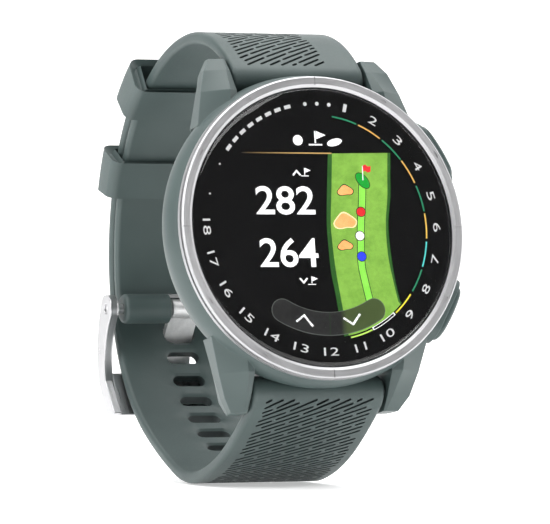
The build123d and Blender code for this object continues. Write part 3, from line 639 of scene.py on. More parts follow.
def rounded_sheet(name, outline, half_width, rounding, material, holes=(), dents=(), narrow=None):
    """Extrude an outline across, with rounded edges, through holes and shallow dents.

    A hole is (outer loop, inner loop) and a dent is a loop, each of (length along the outline, across)."""
    flat = half_width - rounding
    vertices, faces = [], []

    def place(length, x, inset=0.0):
        vertices.append((length, x, inset))
        return len(vertices) - 1

    # flat band, triangulated round its holes and dents
    loops = [loop for pair in holes for loop in pair] + list(dents)
    points, edges, owner = [], [], []
    rows = outline.lengths
    for row, length in enumerate(rows):
        for x in (-flat, flat):
            points.append(Vector((length, x)))
            owner.append(-1)
        if row:
            k = len(points)
            edges += [(k - 4, k - 2), (k - 3, k - 1)]
    edges += [(0, 1), (len(points) - 2, len(points) - 1)]
    boxes = []
    for number, loop in enumerate(loops):
        start = len(points)
        points += [Vector(p) for p in loop]
        owner += [number] * len(loop)
        edges += [(start + i, start + (i + 1) % len(loop)) for i in range(len(loop))]
        boxes.append((min(p[0] for p in loop), max(p[0] for p in loop),
                      min(p[1] for p in loop), max(p[1] for p in loop)))
    columns = [-flat + (i + 1) * 2 * flat / 9 for i in range(8)]
    for row, length in enumerate(rows):
        near = [b for b in boxes if b[0] - 0.3 < length < b[1] + 0.3]
        for x in columns:
            if all(x < b[2] - 0.3 or x > b[3] + 0.3 for b in near):
                points.append(Vector((length, x)))
                owner.append(-1)
    found, _, triangles, source, _, _ = delaunay_2d_cdt(points, edges, [], 0, 1e-5)
    label = [owner[s[0]] if s else -1 for s in source]
    index = [place(p.x, p.y) for p in found]
    for triangle in triangles:
        tags = {label[v] for v in triangle}
        if len(tags) == 1 and -1 not in tags:
            continue
        faces.append(tuple(index[v] for v in triangle))
    mark = {}
    for v, s in enumerate(source):
        for original in s:
            mark[original] = index[v]

    # walls of holes and dents; the middle band of each hole wall and the dent walls and floors take the
    # darker silicone as painted shade
    first = 2 * len(rows)
    starts = []
    for loop in loops:
        starts.append(first)
        first += len(loop)
    painted_shade_faces = []
    number = 0
    for outer, inner in holes:
        count = len(outer)
        top = [mark[starts[number] + i] for i in range(count)]
        base = [mark[starts[number + 1] + i] for i in range(count)]
        rim = [place(*p, 0.12) for p in outer]
        lip = [place(*p, thickness - 0.3) for p in outer]
        for i in range(count):
            j = (i + 1) % count
            faces.append((top[i], top[j], rim[j], rim[i]))
            painted_shade_faces.append(len(faces))
            faces.append((rim[i], rim[j], lip[j], lip[i]))
            faces.append((lip[i], lip[j], base[j], base[i]))
        number += 2
    for loop in dents:
        count = len(loop)
        top = [mark[starts[number] + i] for i in range(count)]
        cx, cy = sum(p[0] for p in loop) / count, sum(p[1] for p in loop) / count
        floor = [place(cx + (p[0] - cx) * 0.93, cy + (p[1] - cy) * 0.97, 0.34) for p in loop]
        for i in range(count):
            j = (i + 1) % count
            painted_shade_faces.append(len(faces))
            faces.append((top[i], top[j], floor[j], floor[i]))
        painted_shade_faces.append(len(faces))
        faces.append(tuple(floor))
        number += 1

    # rounded edges and side faces
    turns = 5
    for sign in (-1, 1):
        ring = [mark[2 * row + (0 if sign < 0 else 1)] for row in range(len(rows) - 1)]
        for k in range(1, turns + 1):
            a = k / turns * pi / 2
            x, inset = sign * (flat + rounding * sin(a)), rounding * (1 - cos(a))
            after = [place(outline.lengths[i], x, inset) for i in range(len(outline.points))]
            for i in range(len(ring)):
                j = (i + 1) % len(ring)
                faces.append((ring[i], ring[j], after[j], after[i]))
            ring = after
        faces.append(tuple(ring))

    placed = []
    for length, x, inset in vertices:
        deep, height = outline.at(length, inset)
        if narrow:
            x *= narrow((deep, height))
        placed.append((deep, height, x))
    return add_mesh(name, placed, faces, material, SIDE, 30, painted_shade_faces, recess_shade_silicone)


# ---------------- strap halves
def clipped(a, b, low, high):
    """The part of a segment inside a rectangle, or nothing."""
    start, end = 0.0, 1.0
    for p, d, floor, roof in zip(a, b - a, low, high):
        if abs(d) < 1e-9:
            if not floor <= p <= roof:
                return None
            continue
        first, last = sorted(((floor - p) / d, (roof - p) / d))
        start, end = max(start, first), min(end, last)
    return (a + (b - a) * start, a + (b - a) * end) if end > start else None


def dash_loops(start, end, rise, left=-7.9, right=8.3, pitch=6.0, row=0.84, width=0.36, gap=0.45, shift=0.37):
    """Staggered slanting dashes between two lengths along an outline. Rise is the slope towards +across."""
    slant, half_spread = radians(30), 24         # the rows reach this far from the middle
    slope = Vector((cos(slant), rise * sin(slant)))                    # (across, length)
    normal = Vector((-slope.y, slope.x))
    loops = []
    reach = ceil(half_spread / row)
    middle = (start + end) / 2
    for k in range(-reach, reach + 1):
        for j in range(-6, 7):
            offset = (j + shift * k % 1) * pitch
            a, b = (slope * p + normal * (k * row) + Vector((0, middle))
                    for p in (offset + gap / 2, offset + pitch - gap / 2))
            kept = clipped(a, b, (left, min(start, end)), (right, max(start, end)))
            if not kept or (kept[1] - kept[0]).length < 0.8:
                continue
            a, b = kept
            side, tip = normal * width / 2, slope * width / 2
            corners = [a + side * 0.45, a + tip + side, b - tip + side, b + side * 0.45,
                       b - side * 0.45, b - tip - side, a + tip - side, a - side * 0.45]
            loops.append([(c.y, c.x) for c in corners])
    return loops


def stadium(length, centre_x, long, high, count=8):
    """Loop of (length along, across) for a slot that is long across."""
    loop = []
    for sign in (1, -1):
        for i in range(count + 1):
            a = pi / 2 - pi * i / count
            loop.append((length + sign * high / 2 * sin(a),
                         centre_x + sign * ((long - high) / 2 + high / 2 * cos(a))))
    return loop


def upper_outline():
    nose = (bar_deep, bar_up)
    to_nose = hypot(nose[0] - wrist[0], nose[1] - wrist[1])
    to_crown, to_bar = rear_radius - crown_radius, crown_radius - nose_radius
    spread = acos((to_crown ** 2 + to_nose ** 2 - to_bar ** 2) / (2 * to_crown * to_nose))
    turn = radians(bearing(wrist, nose)) - spread
    crown = (wrist[0] + to_crown * cos(turn), wrist[1] + to_crown * sin(turn))
    start, join, end = bearing(crown, nose), degrees(turn), degrees(asin(pin[1] / rear_radius))
    outer = along(crown, crown_radius, start, join - start)
    outer += along(wrist, rear_radius, join, end + 1.2 - join)
    inner = along(wrist, rear_radius - thickness, end, join - end)
    inner += along(crown, crown_radius - thickness, join, start - join)
    inner = until(inner[::-1], pin, barrel_radius)[::-1]
    inner = until(inner, nose, nose_radius)
    barrel = around(pin, barrel_radius, 12, bearing(pin, inner[0]) - 360)
    tip = around(nose, nose_radius, bearing(nose, inner[-1]), start - 360)
    return Outline(outer + barrel + inner + tip), start, crown


def lower_outline():
    nose = (bar_deep, -bar_up)
    arcs = [(wrist, tail_radius, tail_start, tail_leaves - tail_start)]
    arcs += tangent_arcs(on_wrist(tail_radius, tail_leaves), radians(tail_leaves) - pi / 2, underside)
    outer = [p for arc in arcs for p in along(*arc)]
    inner = [p for c, r, s, w in reversed(arcs) for p in along(c, r - thickness, s + w, -w)]
    outer = until(outer, nose, nose_radius)
    kept = len(until(inner[::-1], nose, nose_radius))
    inner = inner[len(inner) - kept:]
    tip = around(nose, nose_radius, bearing(nose, outer[-1]) + 360, bearing(nose, inner[0]))
    return Outline(outer + tip[1:-1] + inner), arcs


def make_upper_strap():
    outline, start, crown = upper_outline()
    piece = rounded_sheet("strap_upper_skin", outline, strap_half, 0.62, silicone,
                          dents=dash_loops(0.4, 34.0, 1, right=4.6))
    work = bmesh.new()
    bore_in(work, pin, pin_bore)
    bore_in(work, (bar_deep, bar_up), bar_bore)
    cut(piece, cutter_from(work))
    work = bmesh.new()                           # notch for the tongue in the barrel
    box_in(work, (pin[0] - 2.8, pin[1] - 4.4, -2.8), (pin[0] + 3.6, pin[1] + 2.0, 2.8))
    return cut(piece, cutter_from(work))


def make_lower_strap():
    outline, arcs = lower_outline()
    slot_pitch, buckled = 4.2, -11.8             # the tongue is in the slot at this bearing
    first = tail_radius * radians(tail_start - buckled)
    holes = []
    for index in range(-6, 7):
        left = first + index * slot_pitch
        for centre, radius, begin, sweep in arcs:
            arc_length = radius * abs(radians(sweep))
            if left <= arc_length:
                angle = radians(begin + sweep * left / arc_length)
                inner_point = (centre[0] + (radius - thickness) * cos(angle),
                               centre[1] + (radius - thickness) * sin(angle))
                outer_point = (centre[0] + radius * cos(angle), centre[1] + radius * sin(angle))
                break
            left -= arc_length
        high = 2.0 if index else 3.3
        long = 5.0 if index else 4.95
        outer_length = outline_length(outline, outer_point)
        inner_length = outline_length(outline, inner_point)
        top = stadium(outer_length, 0.0, long, high)
        base = [(inner_length - (s - outer_length) * (high + 0.5) / high, x * (long + 1.0) / long)
                for s, x in top]
        holes.append((top, base))
    nose_length = outline_length(outline, underside[-1])
    last_slot = outline_length(outline, outer_point)
    texture = dash_loops(last_slot + 4.0, nose_length + 1.2, 1)
    width_at_tip, tip_length = 3.8, 6

    def narrow(point):
        """The tail's end is rounded in plan."""
        angle = bearing(wrist, point)
        from_tip = max(0.0, radians(tail_start - angle) * tail_radius)
        if not 20 <= angle <= tail_start + 5 or from_tip >= tip_length:
            return 1.0
        return (width_at_tip + sqrt(max(0.0, tip_length ** 2 - (tip_length - from_tip) ** 2))) / strap_half

    piece = rounded_sheet("strap_lower_skin", outline, strap_half, 0.62, silicone, holes=holes, dents=texture,
                          narrow=narrow)
    work = bmesh.new()
    bore_in(work, (bar_deep, -bar_up), bar_bore)
    return cut(piece, cutter_from(work))


def outline_length(outline, point):
    """Length along an outline of the place nearest to a point."""
    near = outline.nearest(point)
    best = min((near + (i - 20) * 0.05 for i in range(41)),
               key=lambda s: hypot(outline.at(s)[0] - point[0], outline.at(s)[1] - point[1]))
    return best % outline.total


for skin, node in ((make_upper_strap(), "strap_upper"), (make_lower_strap(), "strap_lower")):
    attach(skin, "watch")
    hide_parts(node)

# ---------------- keepers
def rounded_loop(low, high, half, corner, count=6):
    """Closed (radius, across) rectangle with round corners."""
    points = []
    for centre, begin in (((high - corner, half - corner), 90), ((low + corner, half - corner), 180),
                          ((low + corner, corner - half), 270), ((high - corner, corner - half), 0)):
        for i in range(count + 1):
            a = radians(begin - 90 + 90 * i / count)
            points.append((centre[0] + corner * cos(a), centre[1] + corner * sin(a)))
    return points


def make_keeper(name, start, end, node):
    """Moulded loop round both strap halves, with soft rims."""
    rim, turns, steps = 0.75, 6, 10
    middle_radius = 31.5
    stations = []
    for k in range(turns + 1):
        a = pi / 2 * k / turns
        stations.append((start + degrees(rim * (1 - sin(a)) / middle_radius), rim * (1 - cos(pi / 2 - a))))
    soft = degrees(rim / middle_radius)
    stations += [(start + soft + (end - start - 2 * soft) * i / steps, 0.0) for i in range(1, steps)]
    stations += [(start + end - angle, inset) for angle, inset in reversed(stations[:turns + 1])]
    vertices, faces = [], []
    for angle, inset in stations:
        thin = min(inset, 0.26)
        outer = rounded_loop(28.55 + thin, 34.5 - inset, 11.8 - inset, 1.5)
        inner = rounded_loop(29.15 - thin * 0.4, 33.35 + inset * 0.3, 10.1 + inset * 0.5, 0.25)
        vertices += [(*on_wrist(r, angle), x) for r, x in outer + inner]
    n = len(outer)
    for k in range(len(stations) - 1):
        a, b = k * 2 * n, (k + 1) * 2 * n
        for i in range(n):
            j = (i + 1) % n
            faces.append((a + i, a + j, b + j, b + i))
            faces.append((a + n + j, a + n + i, b + n + i, b + n + j))
    for a in (0, (len(stations) - 1) * 2 * n):
        for i in range(n):
            j = (i + 1) % n
            faces.append((a + i, a + n + i, a + n + j, a + j))
    piece = add_mesh(name, vertices, faces, keeper_silicone, SIDE, 50)
    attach(piece, node)
    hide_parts(node)


make_keeper("upper_keeper_loop", 51.8, 63.6, "upper_keeper")
make_keeper("lower_keeper_loop", 25.8, 36.8, "lower_keeper")

# ---------------- glass, dial print and screen
print_depth = 0.62           # surface of the print behind the ring's front plane, mm
layer = 0.006                # each printed or lit layer stands this much above the one below
screen_radius = 15.2
numeral_radius, dot_radius, mark_radius = 17.12, 17.0, 17.1
sector_inner, sector_outer = 15.42, 15.62


def on_dial(radius, clock):
    """(across, up) at an angle clockwise from 12 o'clock."""
    return (radius * sin(radians(clock)), radius * cos(radians(clock)))


def arc_band(inner, outer, start, end):
    count = max(2, ceil(abs(end - start) / 1.5))
    angles = [start + (end - start) * i / count for i in range(count + 1)]
    return [on_dial(outer, a) for a in angles] + [on_dial(inner, a) for a in reversed(angles)]


def round_band(middle_radius, half, start, end):
    """Ring segment with round ends."""
    points = []
    for begin, finish, reach, turn in ((start, end, half, 0), (end, start, -half, 180)):
        points += [on_dial(middle_radius + reach, begin + (finish - begin) * i / 24) for i in range(25)]
        tip = on_dial(middle_radius, finish)
        rounding = [on_dial(half, finish + turn + 18 * i) for i in range(1, 10)]
        points += [(tip[0] + x, tip[1] + y) for x, y in rounding]
    return points


def ellipse(centre, half_x, half_y, turn=0.0, count=28):
    c, s = cos(radians(turn)), sin(radians(turn))
    return [(centre[0] + half_x * cos(a) * c - half_y * sin(a) * s,
             centre[1] + half_x * cos(a) * s + half_y * sin(a) * c)
            for a in (2 * pi * i / count for i in range(count))]


def ribbon(points, width):
    """Outline of a line of constant width."""
    left, right = [], []
    for i, point in enumerate(points):
        before, after = points[max(0, i - 1)], points[min(len(points) - 1, i + 1)]
        d = Vector((after[0] - before[0], after[1] - before[1])).normalized()
        reach = width / 2
        if 0 < i < len(points) - 1:
            leg = Vector((after[0] - point[0], after[1] - point[1])).normalized()
            reach /= max(0.4, abs(d.dot(leg)))
        left.append((point[0] - d.y * reach, point[1] + d.x * reach))
        right.append((point[0] + d.y * reach, point[1] - d.x * reach))
    return left + right[::-1]


def smooth_line(points, count=6):
    """Catmull-Rom line through points."""
    ends = [points[0]] + points + [points[-1]]
    line = []
    for i in range(1, len(ends) - 2):
        p0, p1, p2, p3 = (Vector(p) for p in ends[i - 1:i + 3])
        for k in range(count):
            t = k / count
            line.append(tuple(0.5 * (2 * p1 + (p2 - p0) * t + (2 * p0 - 5 * p1 + 4 * p2 - p3) * t * t
                                     + (3 * p1 - p0 - 3 * p2 + p3) * t ** 3)))
    return line + [points[-1]]


def on_screen(name, outlines, level, material):
    """Thin printed or lit shapes on the dial."""
    piece = slab(name, outlines, -print_depth - 0.01, -print_depth + layer * (level + 1), material)
    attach(piece, "watch")
    return piece


def figures(name, marks, level, material, bold=0.0):
    """Numbers, each (text, centre, width, height, turn), as one thin mesh."""
    work = bmesh.new()
    for text, centre, width, height, turn in marks:
        curve = bpy.data.curves.new("figure", "FONT")
        curve.body, curve.size, curve.offset, curve.resolution_u = text, 1.0, bold, 4
        curve.fill_mode, curve.extrude = "BOTH", 0.01
        holder = bpy.data.objects.new("figure", curve)
        bpy.context.scene.collection.objects.link(holder)
        bpy.context.view_layer.update()
        mesh = bpy.data.meshes.new_from_object(holder.evaluated_get(bpy.context.evaluated_depsgraph_get()))
        bpy.data.objects.remove(holder)
        xs, ys = [v.co.x for v in mesh.vertices], [v.co.y for v in mesh.vertices]
        wide, tall = max(xs) - min(xs), max(ys) - min(ys)
        mx, my = (max(xs) + min(xs)) / 2, (max(ys) + min(ys)) / 2
        c, s = cos(radians(turn)), sin(radians(turn))
        top = -print_depth + layer * (level + 1)
        for v in mesh.vertices:
            x, y = (v.co.x - mx) * width / wide, (v.co.y - my) * height / tall
            z = top if v.co.z > 0 else -print_depth - 0.01
            v.co = ((centre[0] + x * c + y * s) * MM, (centre[1] - x * s + y * c) * MM, z * MM)
        work.from_mesh(mesh)
    mesh = bpy.data.meshes.new(name)
    work.to_mesh(mesh)
    work.free()
    piece = wrap_mesh(name, mesh, material, smooth_angle=20)
    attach(piece, "watch")
    return piece


glass = lathe("glass_lens", [
    (0, -0.25), (8.0, -0.25), (14.0, -0.25), (17.0, -0.252), (17.5, -0.262), (17.9, -0.28), (18.3, -0.308),
    (18.6, -0.345), (18.85, -0.39), (19.05, -0.45), (19.17, -0.51), (19.2, -0.56), (14.0, -0.56), (0, -0.56)],
    glass_material())
display_black = panel_material()
mask = lathe("dial_mask", [(15.3, -print_depth), (19.1, -print_depth), (19.15, -print_depth - 0.05),
                           (19.15, -1.29), (15.3, -1.29)], display_black)
cell = lathe("screen_surface", [(0, -print_depth - 0.004), (screen_radius, -print_depth - 0.004),
                                (15.25, -print_depth - 0.05), (15.25, -1.29), (0, -1.29)], display_black)
for piece, finish in ((glass, "cover_glass"), (mask, "display"), (cell, "display")):
    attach(piece, "watch")
    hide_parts("cover_glass")

# painted light: the grey printed numerals, dots and marks glow at 0.75, though print gives no light, so they
# read bright under the glass
dial_ink_painted_glow = printed("dial_ink_painted_glow", (0.56, 0.56, 0.56), 0.75)
numerals = []
for number in range(1, 19):
    clock = number * 15
    width = 0.5 if number == 1 else 1.7 if number == 11 else 2.2 if number > 9 else 1.25
    turn = clock if number < 7 else clock - 180
    numerals.append((str(number), on_dial(numeral_radius, clock), width, 1.1, turn))
figures("dial_numerals", numerals, 2, dial_ink_painted_glow)
dots = [ellipse(on_dial(dot_radius, clock), 0.13, 0.13) for clock in (285.5, 300.5)]
on_screen("dial_dots", dots, 2, dial_ink_painted_glow)
dashes = [arc_band(16.85, 17.35, 308 + 5.2 * i, 311.2 + 5.2 * i) for i in range(8)]
dashes += [ellipse(on_dial(mark_radius, clock), 0.27, 0.27) for clock in (355, 1, 7)]
on_screen("dial_marks", dashes, 2, dial_ink_painted_glow)

sectors = [
    ("green", (0.010, 0.190, 0.090), (9.0, 22.7)), ("tan", (0.56, 0.32, 0.075), (23.9, 37.3)),
    ("green", None, (38.8, 52.5)), ("tan", None, (53.3, 66.5)), ("green", None, (68.1, 81.6)),
    ("gold", (0.62, 0.40, 0.07), (82.8, 95.7)), ("teal", (0.07, 0.50, 0.47), (97.4, 110.6)),
    ("green", None, (112.3, 124.8)), ("yellow", (0.72, 0.60, 0.04), (126.8, 139.7)),
    ("lime", (0.42, 0.63, 0.10), (155.9, 168.7)),
]
tints = {}
for index, (tint, color, (begin, end)) in enumerate(sectors):
    if color:
        tints[tint] = printed("sector_" + tint, color, 1.0)
    band = arc_band(sector_inner, sector_outer, begin, end)
    on_screen(f"hole_sector_{index + 1:02d}", [band], 4, tints[tint])
screen_white = printed("screen_white", (0.86, 0.86, 0.86), 1.0)
on_screen("hole_sector_now", [arc_band(15.58, 15.66, 140.8, 155.3), arc_band(15.22, 15.30, 140.8, 155.3),
                              arc_band(15.22, 15.66, 140.6, 141.2), arc_band(15.22, 15.66, 154.9, 155.5)], 4,
          screen_white)


def course(left, right, bottom_start, bottom_end):
    """Panel between two edge lines, closed along the edge of the round screen."""
    low = [on_dial(screen_radius, bottom_start + (bottom_end - bottom_start) * i / 12) for i in range(13)]
    return smooth_line(left) + low[::-1] + smooth_line(right)[::-1]


edge_left = [(1.45, 10.2), (1.15, 7.2), (0.87, 4.2), (0.58, 0.3), (0.62, -3.3), (0.76, -6.3), (1.19, -9.35),
             (1.61, -12.9)]
edge_right = [(10.86, 10.35), (10.63, 7.3), (10.4, 4.2), (9.8, 0.3), (9.92, -4.1), (10.27, -7.4),
              (10.75, -10.2)]
grass_left = [(2.06, 10.2), (1.81, 7.2), (1.53, 4.2), (1.18, 0.3), (1.28, -3.3), (1.5, -6.3), (1.88, -9.35),
              (2.36, -12.9)]
grass_right = [(10.41, 10.35), (10.17, 7.3), (9.94, 4.2), (9.41, 0.3), (9.46, -4.1), (9.96, -7.4),
               (10.5, -10.3)]
rough_green = fairway_material("screen_rough", (0.008, 0.060, 0.004), (0.014, 0.095, 0.006), 1.0)
grass_green = fairway_material("screen_grass", (0.130, 0.290, 0.030), (0.205, 0.400, 0.055), 0.95)
lane_green = fairway_material("screen_lane", (0.170, 0.520, 0.045), (0.240, 0.630, 0.075), 0.95)
on_screen("screen_course_edge", [course(edge_left, edge_right, 133.6, 172.2)], 0, rough_green)
on_screen("screen_course", [course(grass_left, grass_right, 134.6, 169.6)], 1, grass_green)
lane = smooth_line([(6.3, 5.9), (6.03, 3.1), (5.67, 0.3), (5.47, -2.45), (5.38, -5.2), (5.7, -7.4),
                    (6.17, -9.9), (6.6, -12.0)])
screen_ink = printed("screen_ink", (0.006, 0.030, 0.004), 0.8)
on_screen("screen_lane_edge", [ribbon(lane, 1.18)], 2, screen_ink)
on_screen("screen_lane", [ribbon(lane, 0.96)], 3, lane_green)
on_screen("screen_green_edge", [ellipse((6.38, 6.45), 1.36, 0.80, -48)], 4, screen_ink)
on_screen("screen_green", [ellipse((6.38, 6.45), 1.25, 0.69, -48)], 5,
          printed("green_tint", (0.0, 0.28, 0.02), 1.0))
flag_red = printed("flag_red", (0.66, 0.016, 0.02), 1.0)
on_screen("screen_flag", [[(6.52, 8.52), (6.9, 8.72), (7.3, 8.42), (7.72, 8.5), (7.66, 7.72), (7.2, 7.58),
                           (6.86, 7.84), (6.56, 7.7)]], 6, flag_red)
on_screen("screen_pole", [ribbon([(6.5, 8.5), (6.42, 6.5)], 0.12)], 6, screen_white)


def blob(low, high, grow=0.0):
    """Kidney outline of a bunker between two corners."""
    cx, cy = (low[0] + high[0]) / 2, (low[1] + high[1]) / 2
    hx, hy = (high[0] - low[0]) / 2 + grow, (high[1] - low[1]) / 2 + grow
    return [(cx + hx * cos(a) * (1 + 0.10 * sin(2 * a + 0.6)),
             cy + hy * sin(a) * (1 + 0.16 * cos(3 * a + 0.9)) - 0.12 * hy * cos(2 * a))
            for a in (2 * pi * i / 36 for i in range(36))]


bunkers = [((2.6, 4.35), (4.75, 5.65)), ((1.85, -0.25), (4.85, 1.68)), ((2.1, -3.2), (4.15, -2.0))]
sand = fairway_material("screen_sand", (0.78, 0.30, 0.09), (0.92, 0.42, 0.16), 0.95)
on_screen("bunker_edges", [blob(*bunkers[0], 0.12), blob(*bunkers[2], 0.12)], 2, screen_ink)
on_screen("bunker_halo", [blob(*bunkers[1], 0.16)], 2, printed("sand_halo", (0.90, 0.68, 0.40), 1.0))
on_screen("bunkers", [blob(*bunkers[0]), blob(*bunkers[1]), blob(*bunkers[2])], 3, sand)
markers = (("red", (5.81, 2.12), (0.62, 0.010, 0.018)), ("white", (5.41, -1.21), (0.76, 0.76, 0.76)),
           ("blue", (5.47, -4.06), (0.018, 0.040, 0.72)))
for tint, centre, color in markers:
    on_screen(f"marker_{tint}_edge", [ellipse(centre, 0.74, 0.72)], 4, screen_ink)
    on_screen(f"marker_{tint}", [ellipse(centre, 0.63, 0.61)], 5, printed("marker_" + tint, color, 1.0))

on_screen("screen_rule", [[(-11.4, 10.14), (2.0, 10.14), (2.0, 10.3), (-11.4, 10.3)]], 1,
          rule_material(-11.4, -2.0))
figures("screen_numbers", [("282", (-5.35, 3.66), 8.75, 3.95, 0), ("264", (-5.3, -3.53), 8.65, 4.03, 0)], 1,
        screen_white, 0.012)


def flag_icon(x, y, high):
    """Pole, pennant and ground line."""
    pole = [(-0.05, 0.16), (0.05, 0.16), (0.05, 1), (-0.05, 1)]
    pennant = [(0.09, 1), (0.80, 0.72), (0.09, 0.44)]
    ground = [(-0.5, 0), (0.5, 0), (0.5, 0.1), (-0.5, 0.1)]
    return [[(x + a * high, y + b * high) for a, b in shape] for shape in (pole, pennant, ground)]


icons = flag_icon(-0.3, 11.3, 2.0)
icons += [ellipse((-2.9, 12.0), 0.72, 0.72), ellipse((2.55, 11.75), 1.15, 0.5, 14)]
icons += flag_icon(-2.2, 7.0, 1.15) + [ribbon([(-3.95, 7.15), (-3.4, 7.75), (-2.85, 7.15)], 0.24)]
icons += flag_icon(-2.2, -7.95, 1.15) + [ribbon([(-3.95, -7.05), (-3.4, -7.65), (-2.85, -7.05)], 0.24)]
on_screen("screen_icons", icons, 1, screen_white)


def pill_material():
    """Smoked key that dims the course below it."""
    s = Shader("screen_key")
    dust = s.noise(s.stretched(2.0, 2.0, 2.0), 2.0)
    dark = s.ramp(dust, [(0.3, (0.008, 0.008, 0.008)), (0.7, (0.013, 0.013, 0.013))])
    over_grass = s.number(s.axes()[0], 0.0, 1.0, 1.7 * MM, 2.6 * MM)
    tone = s.mix(over_grass, dark, (0.040, 0.062, 0.016))
    s.set(Base_Color=tone, Emission_Color=tone, Emission_Strength=1.0, Roughness=0.4)
    return s.material


key_radius, key_start, key_end = 13.33, 149.2, 210.8
on_screen("screen_key_edge", [round_band(key_radius, 1.62, key_start, key_end)], 7,
          printed("key_edge", (0.09, 0.10, 0.09), 1.0))
on_screen("screen_key", [round_band(key_radius, 1.54, key_start, key_end)], 8, pill_material())
on_screen("screen_key_gap", [[(0.04, -11.8), (0.16, -11.8), (0.06, -14.86), (-0.06, -14.86)]], 9, screen_ink)
on_screen("screen_key_arrows", [ribbon([(-4.9, -13.0), (-3.72, -12.15), (-2.5, -13.68)], 0.3),
                                ribbon([(2.1, -12.55), (3.5, -13.4), (4.6, -12.0)], 0.3)], 9, screen_white)

# ---------------- materials on the CAD nodes
flex_film = flex_material()
node_materials = {
    "case_body": case_polymer, "rear_cover": case_polymer, "bezel_ring": ring_metal, "glass_adhesive": foam,
    "display_panel": display_black, "display_flex": flex_film, "display_frame": black_plastic,
    "gps_antenna": antenna_material(), "main_board": board_material(), "board_chips": chip_resin,
    "shield_can": shield_material(), "battery": cell_material(), "vibration_motor": motor_can,
    "motor_weight": tungsten, "motor_cradle": gasket_rubber, "buzzer": buzzer_brass,
    "rear_gasket": gasket_rubber, "screw_inserts": insert_brass_material(), "rear_screws": polished,
    "charge_port": black_plastic, "charge_contacts": gold, "buckle_pin": polished,
    "buckle_frame": buckle_brushed, "buckle_tongue": satin, "battery_flex": flex_film,
    "button_flex": flex_film,
}
for button in ("upper_button", "lower_button"):
    node_materials[button + "_cap"] = button_polymer
    node_materials[button + "_seal"] = gasket_rubber
    node_materials[button + "_clip"] = spring_wire
    node_materials[button + "_switch"] = black_plastic
for bar in ("upper_bar", "lower_bar"):
    node_materials[bar + "_tube"] = polished
    node_materials[bar + "_lever"] = polished
for name, material in node_materials.items():
    for material_slot in frame["nodes"][name].material_slots:
        material_slot.material = material


def live_spring(node):
    """Copy of a coil spring in spring wire, attached to the watch in place of its node."""
    mesh = frame["nodes"][node].data.copy()
    piece = bpy.data.objects.new(node + "_coil", mesh)
    mesh.materials.clear()
    mesh.materials.append(spring_wire)
    bpy.context.scene.collection.objects.link(piece)
    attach(piece, "watch")
    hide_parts(node)
    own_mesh(piece)


for joint in frame["record"]["behaviour"]["joints"]:
    for coil in joint.get("deforming_nodes", ()):
        low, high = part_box(coil["node"])
        centre = (Vector(low) + Vector(high)) / 2
        live_spring(coil["node"])


# ---------------- stage, lights and camera
view_deep = Vector((0.398, 0.917, 0.0)).normalized()
view_right = Vector((view_deep.y, -view_deep.x, 0))


def one_sided(material):
    """Lets a view through the back of the paper, so that it never hides the object."""
    nodes, links = material.node_tree.nodes, material.node_tree.links
    output = next(node for node in nodes if node.type == "OUTPUT_MATERIAL")
    front_face = output.inputs["Surface"].links[0].from_socket
    clear = nodes.new("ShaderNodeBsdfTransparent")
    choice = nodes.new("ShaderNodeMixShader")
    links.new(nodes.new("ShaderNodeNewGeometry").outputs["Backfacing"], choice.inputs["Fac"])
    links.new(front_face, choice.inputs[1])
    links.new(clear.outputs["BSDF"], choice.inputs[2])
    links.new(choice.outputs["Shader"], output.inputs["Surface"])


def from_view(right, height, away):
    """Point at distances in metres to the camera's right, up, and away from it, from the dial's centre."""
    return face_centre + view_right * right + Vector((0, 0, height)) + view_deep * away


camera_data = bpy.data.cameras.new("camera")
camera_data.lens, camera_data.sensor_width = 310, 36
camera_data.clip_start, camera_data.clip_end = 0.01, 20
camera = bpy.data.objects.new("camera", camera_data)
camera.location = face_centre + Vector((-0.2626, -0.5881, -0.00484))
camera.rotation_euler = view_deep.to_track_quat("-Z", "Y").to_euler()
bpy.context.scene.collection.objects.link(camera)
bpy.context.scene.camera = camera

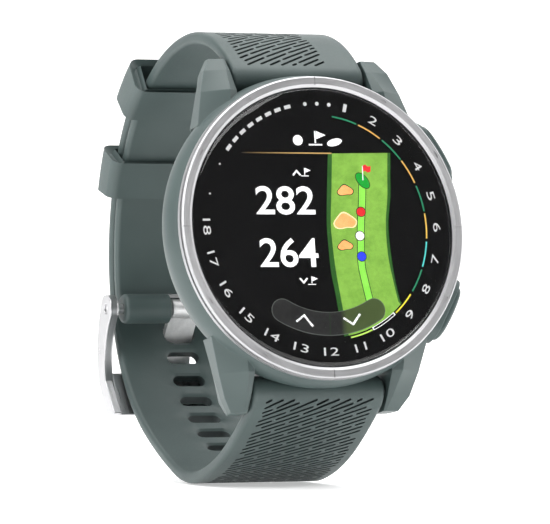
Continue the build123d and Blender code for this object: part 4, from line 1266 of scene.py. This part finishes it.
stage_shader = Shader("stage_paper")
stage_grain = stage_shader.noise(stage_shader.stretched(0.4, 0.4, 0.4), 3.0)
stage_tone = stage_shader.ramp(stage_grain, [(0.3, (0.93, 0.93, 0.93)), (0.7, (0.95, 0.95, 0.95))])
sideways = stage_shader.math("ABSOLUTE", stage_shader.axes()[0])
stage_glow = stage_shader.number(sideways, 0.42, 0.95, 0.3, 0.8)       # paler where the lamps fade
stage_shader.set(Base_Color=stage_tone, Roughness=0.9, Emission_Color=(1.0, 1.0, 1.0))
stage_shader.set(Emission_Strength=stage_glow)
one_sided(stage_shader.material)
sweep_points = [(-0.9, 0.0), (0.55, 0.0)]
sweep_points += [(0.55 + 0.25 * sin(radians(a)), 0.25 - 0.25 * cos(radians(a))) for a in range(10, 91, 10)]
sweep_points += [(0.8, 1.4)]
paper_mesh = bpy.data.meshes.new("paper_sweep")
paper_vertices = []
for away, height in sweep_points:
    for side in (-1.6, 1.6):
        base = Vector((face_centre.x, face_centre.y, 0)) + view_right * side + view_deep * away
        paper_vertices.append((base.x, base.y, height - 0.0002))
paper_faces = [(2 * i, 2 * i + 1, 2 * i + 3, 2 * i + 2) for i in range(len(sweep_points) - 1)]
paper_mesh.from_pydata(paper_vertices, [], paper_faces)
paper_mesh.shade_smooth()
paper = bpy.data.objects.new("paper_sweep", paper_mesh)
paper_mesh.materials.append(stage_shader.material)
bpy.context.scene.collection.objects.link(paper)

world = bpy.data.worlds.new("studio")
world.use_nodes = True
world_nodes, world_links = world.node_tree.nodes, world.node_tree.links
world_nodes["Background"].inputs["Color"].default_value = (1, 1, 1, 1)
world_light = world_nodes.new("ShaderNodeMapRange")                    # a dim light, but white when seen
world_light.inputs["To Min"].default_value, world_light.inputs["To Max"].default_value = 0.07, 1.0
seen_directly = world_nodes.new("ShaderNodeLightPath").outputs["Is Camera Ray"]
world_links.new(seen_directly, world_light.inputs["Value"])
world_links.new(world_light.outputs["Result"], world_nodes["Background"].inputs["Strength"])
bpy.context.scene.world = world
for name, place, size, power in (
        ("key_left", (-0.5, 0.25, -0.25), (0.3, 0.5), 3.0), ("top", (0.0, 0.6, 0.05), (0.8, 0.6), 6.5),
        ("front_top", (0.22, 0.46, -0.45), (0.34, 0.22), 1.1),
        ("side_right", (0.6, 0.16, 0.1), (0.3, 0.5), 1.8)):
    light = bpy.data.lights.new(name, "AREA")
    light.shape, light.size, light.size_y, light.energy = "RECTANGLE", *size, power
    lamp = bpy.data.objects.new(name, light)
    lamp.location = from_view(*place)
    lamp.rotation_euler = (face_centre - lamp.location).to_track_quat("-Z", "Y").to_euler()
    bpy.context.scene.collection.objects.link(lamp)
bpy.context.scene.view_settings.view_transform = "Standard"
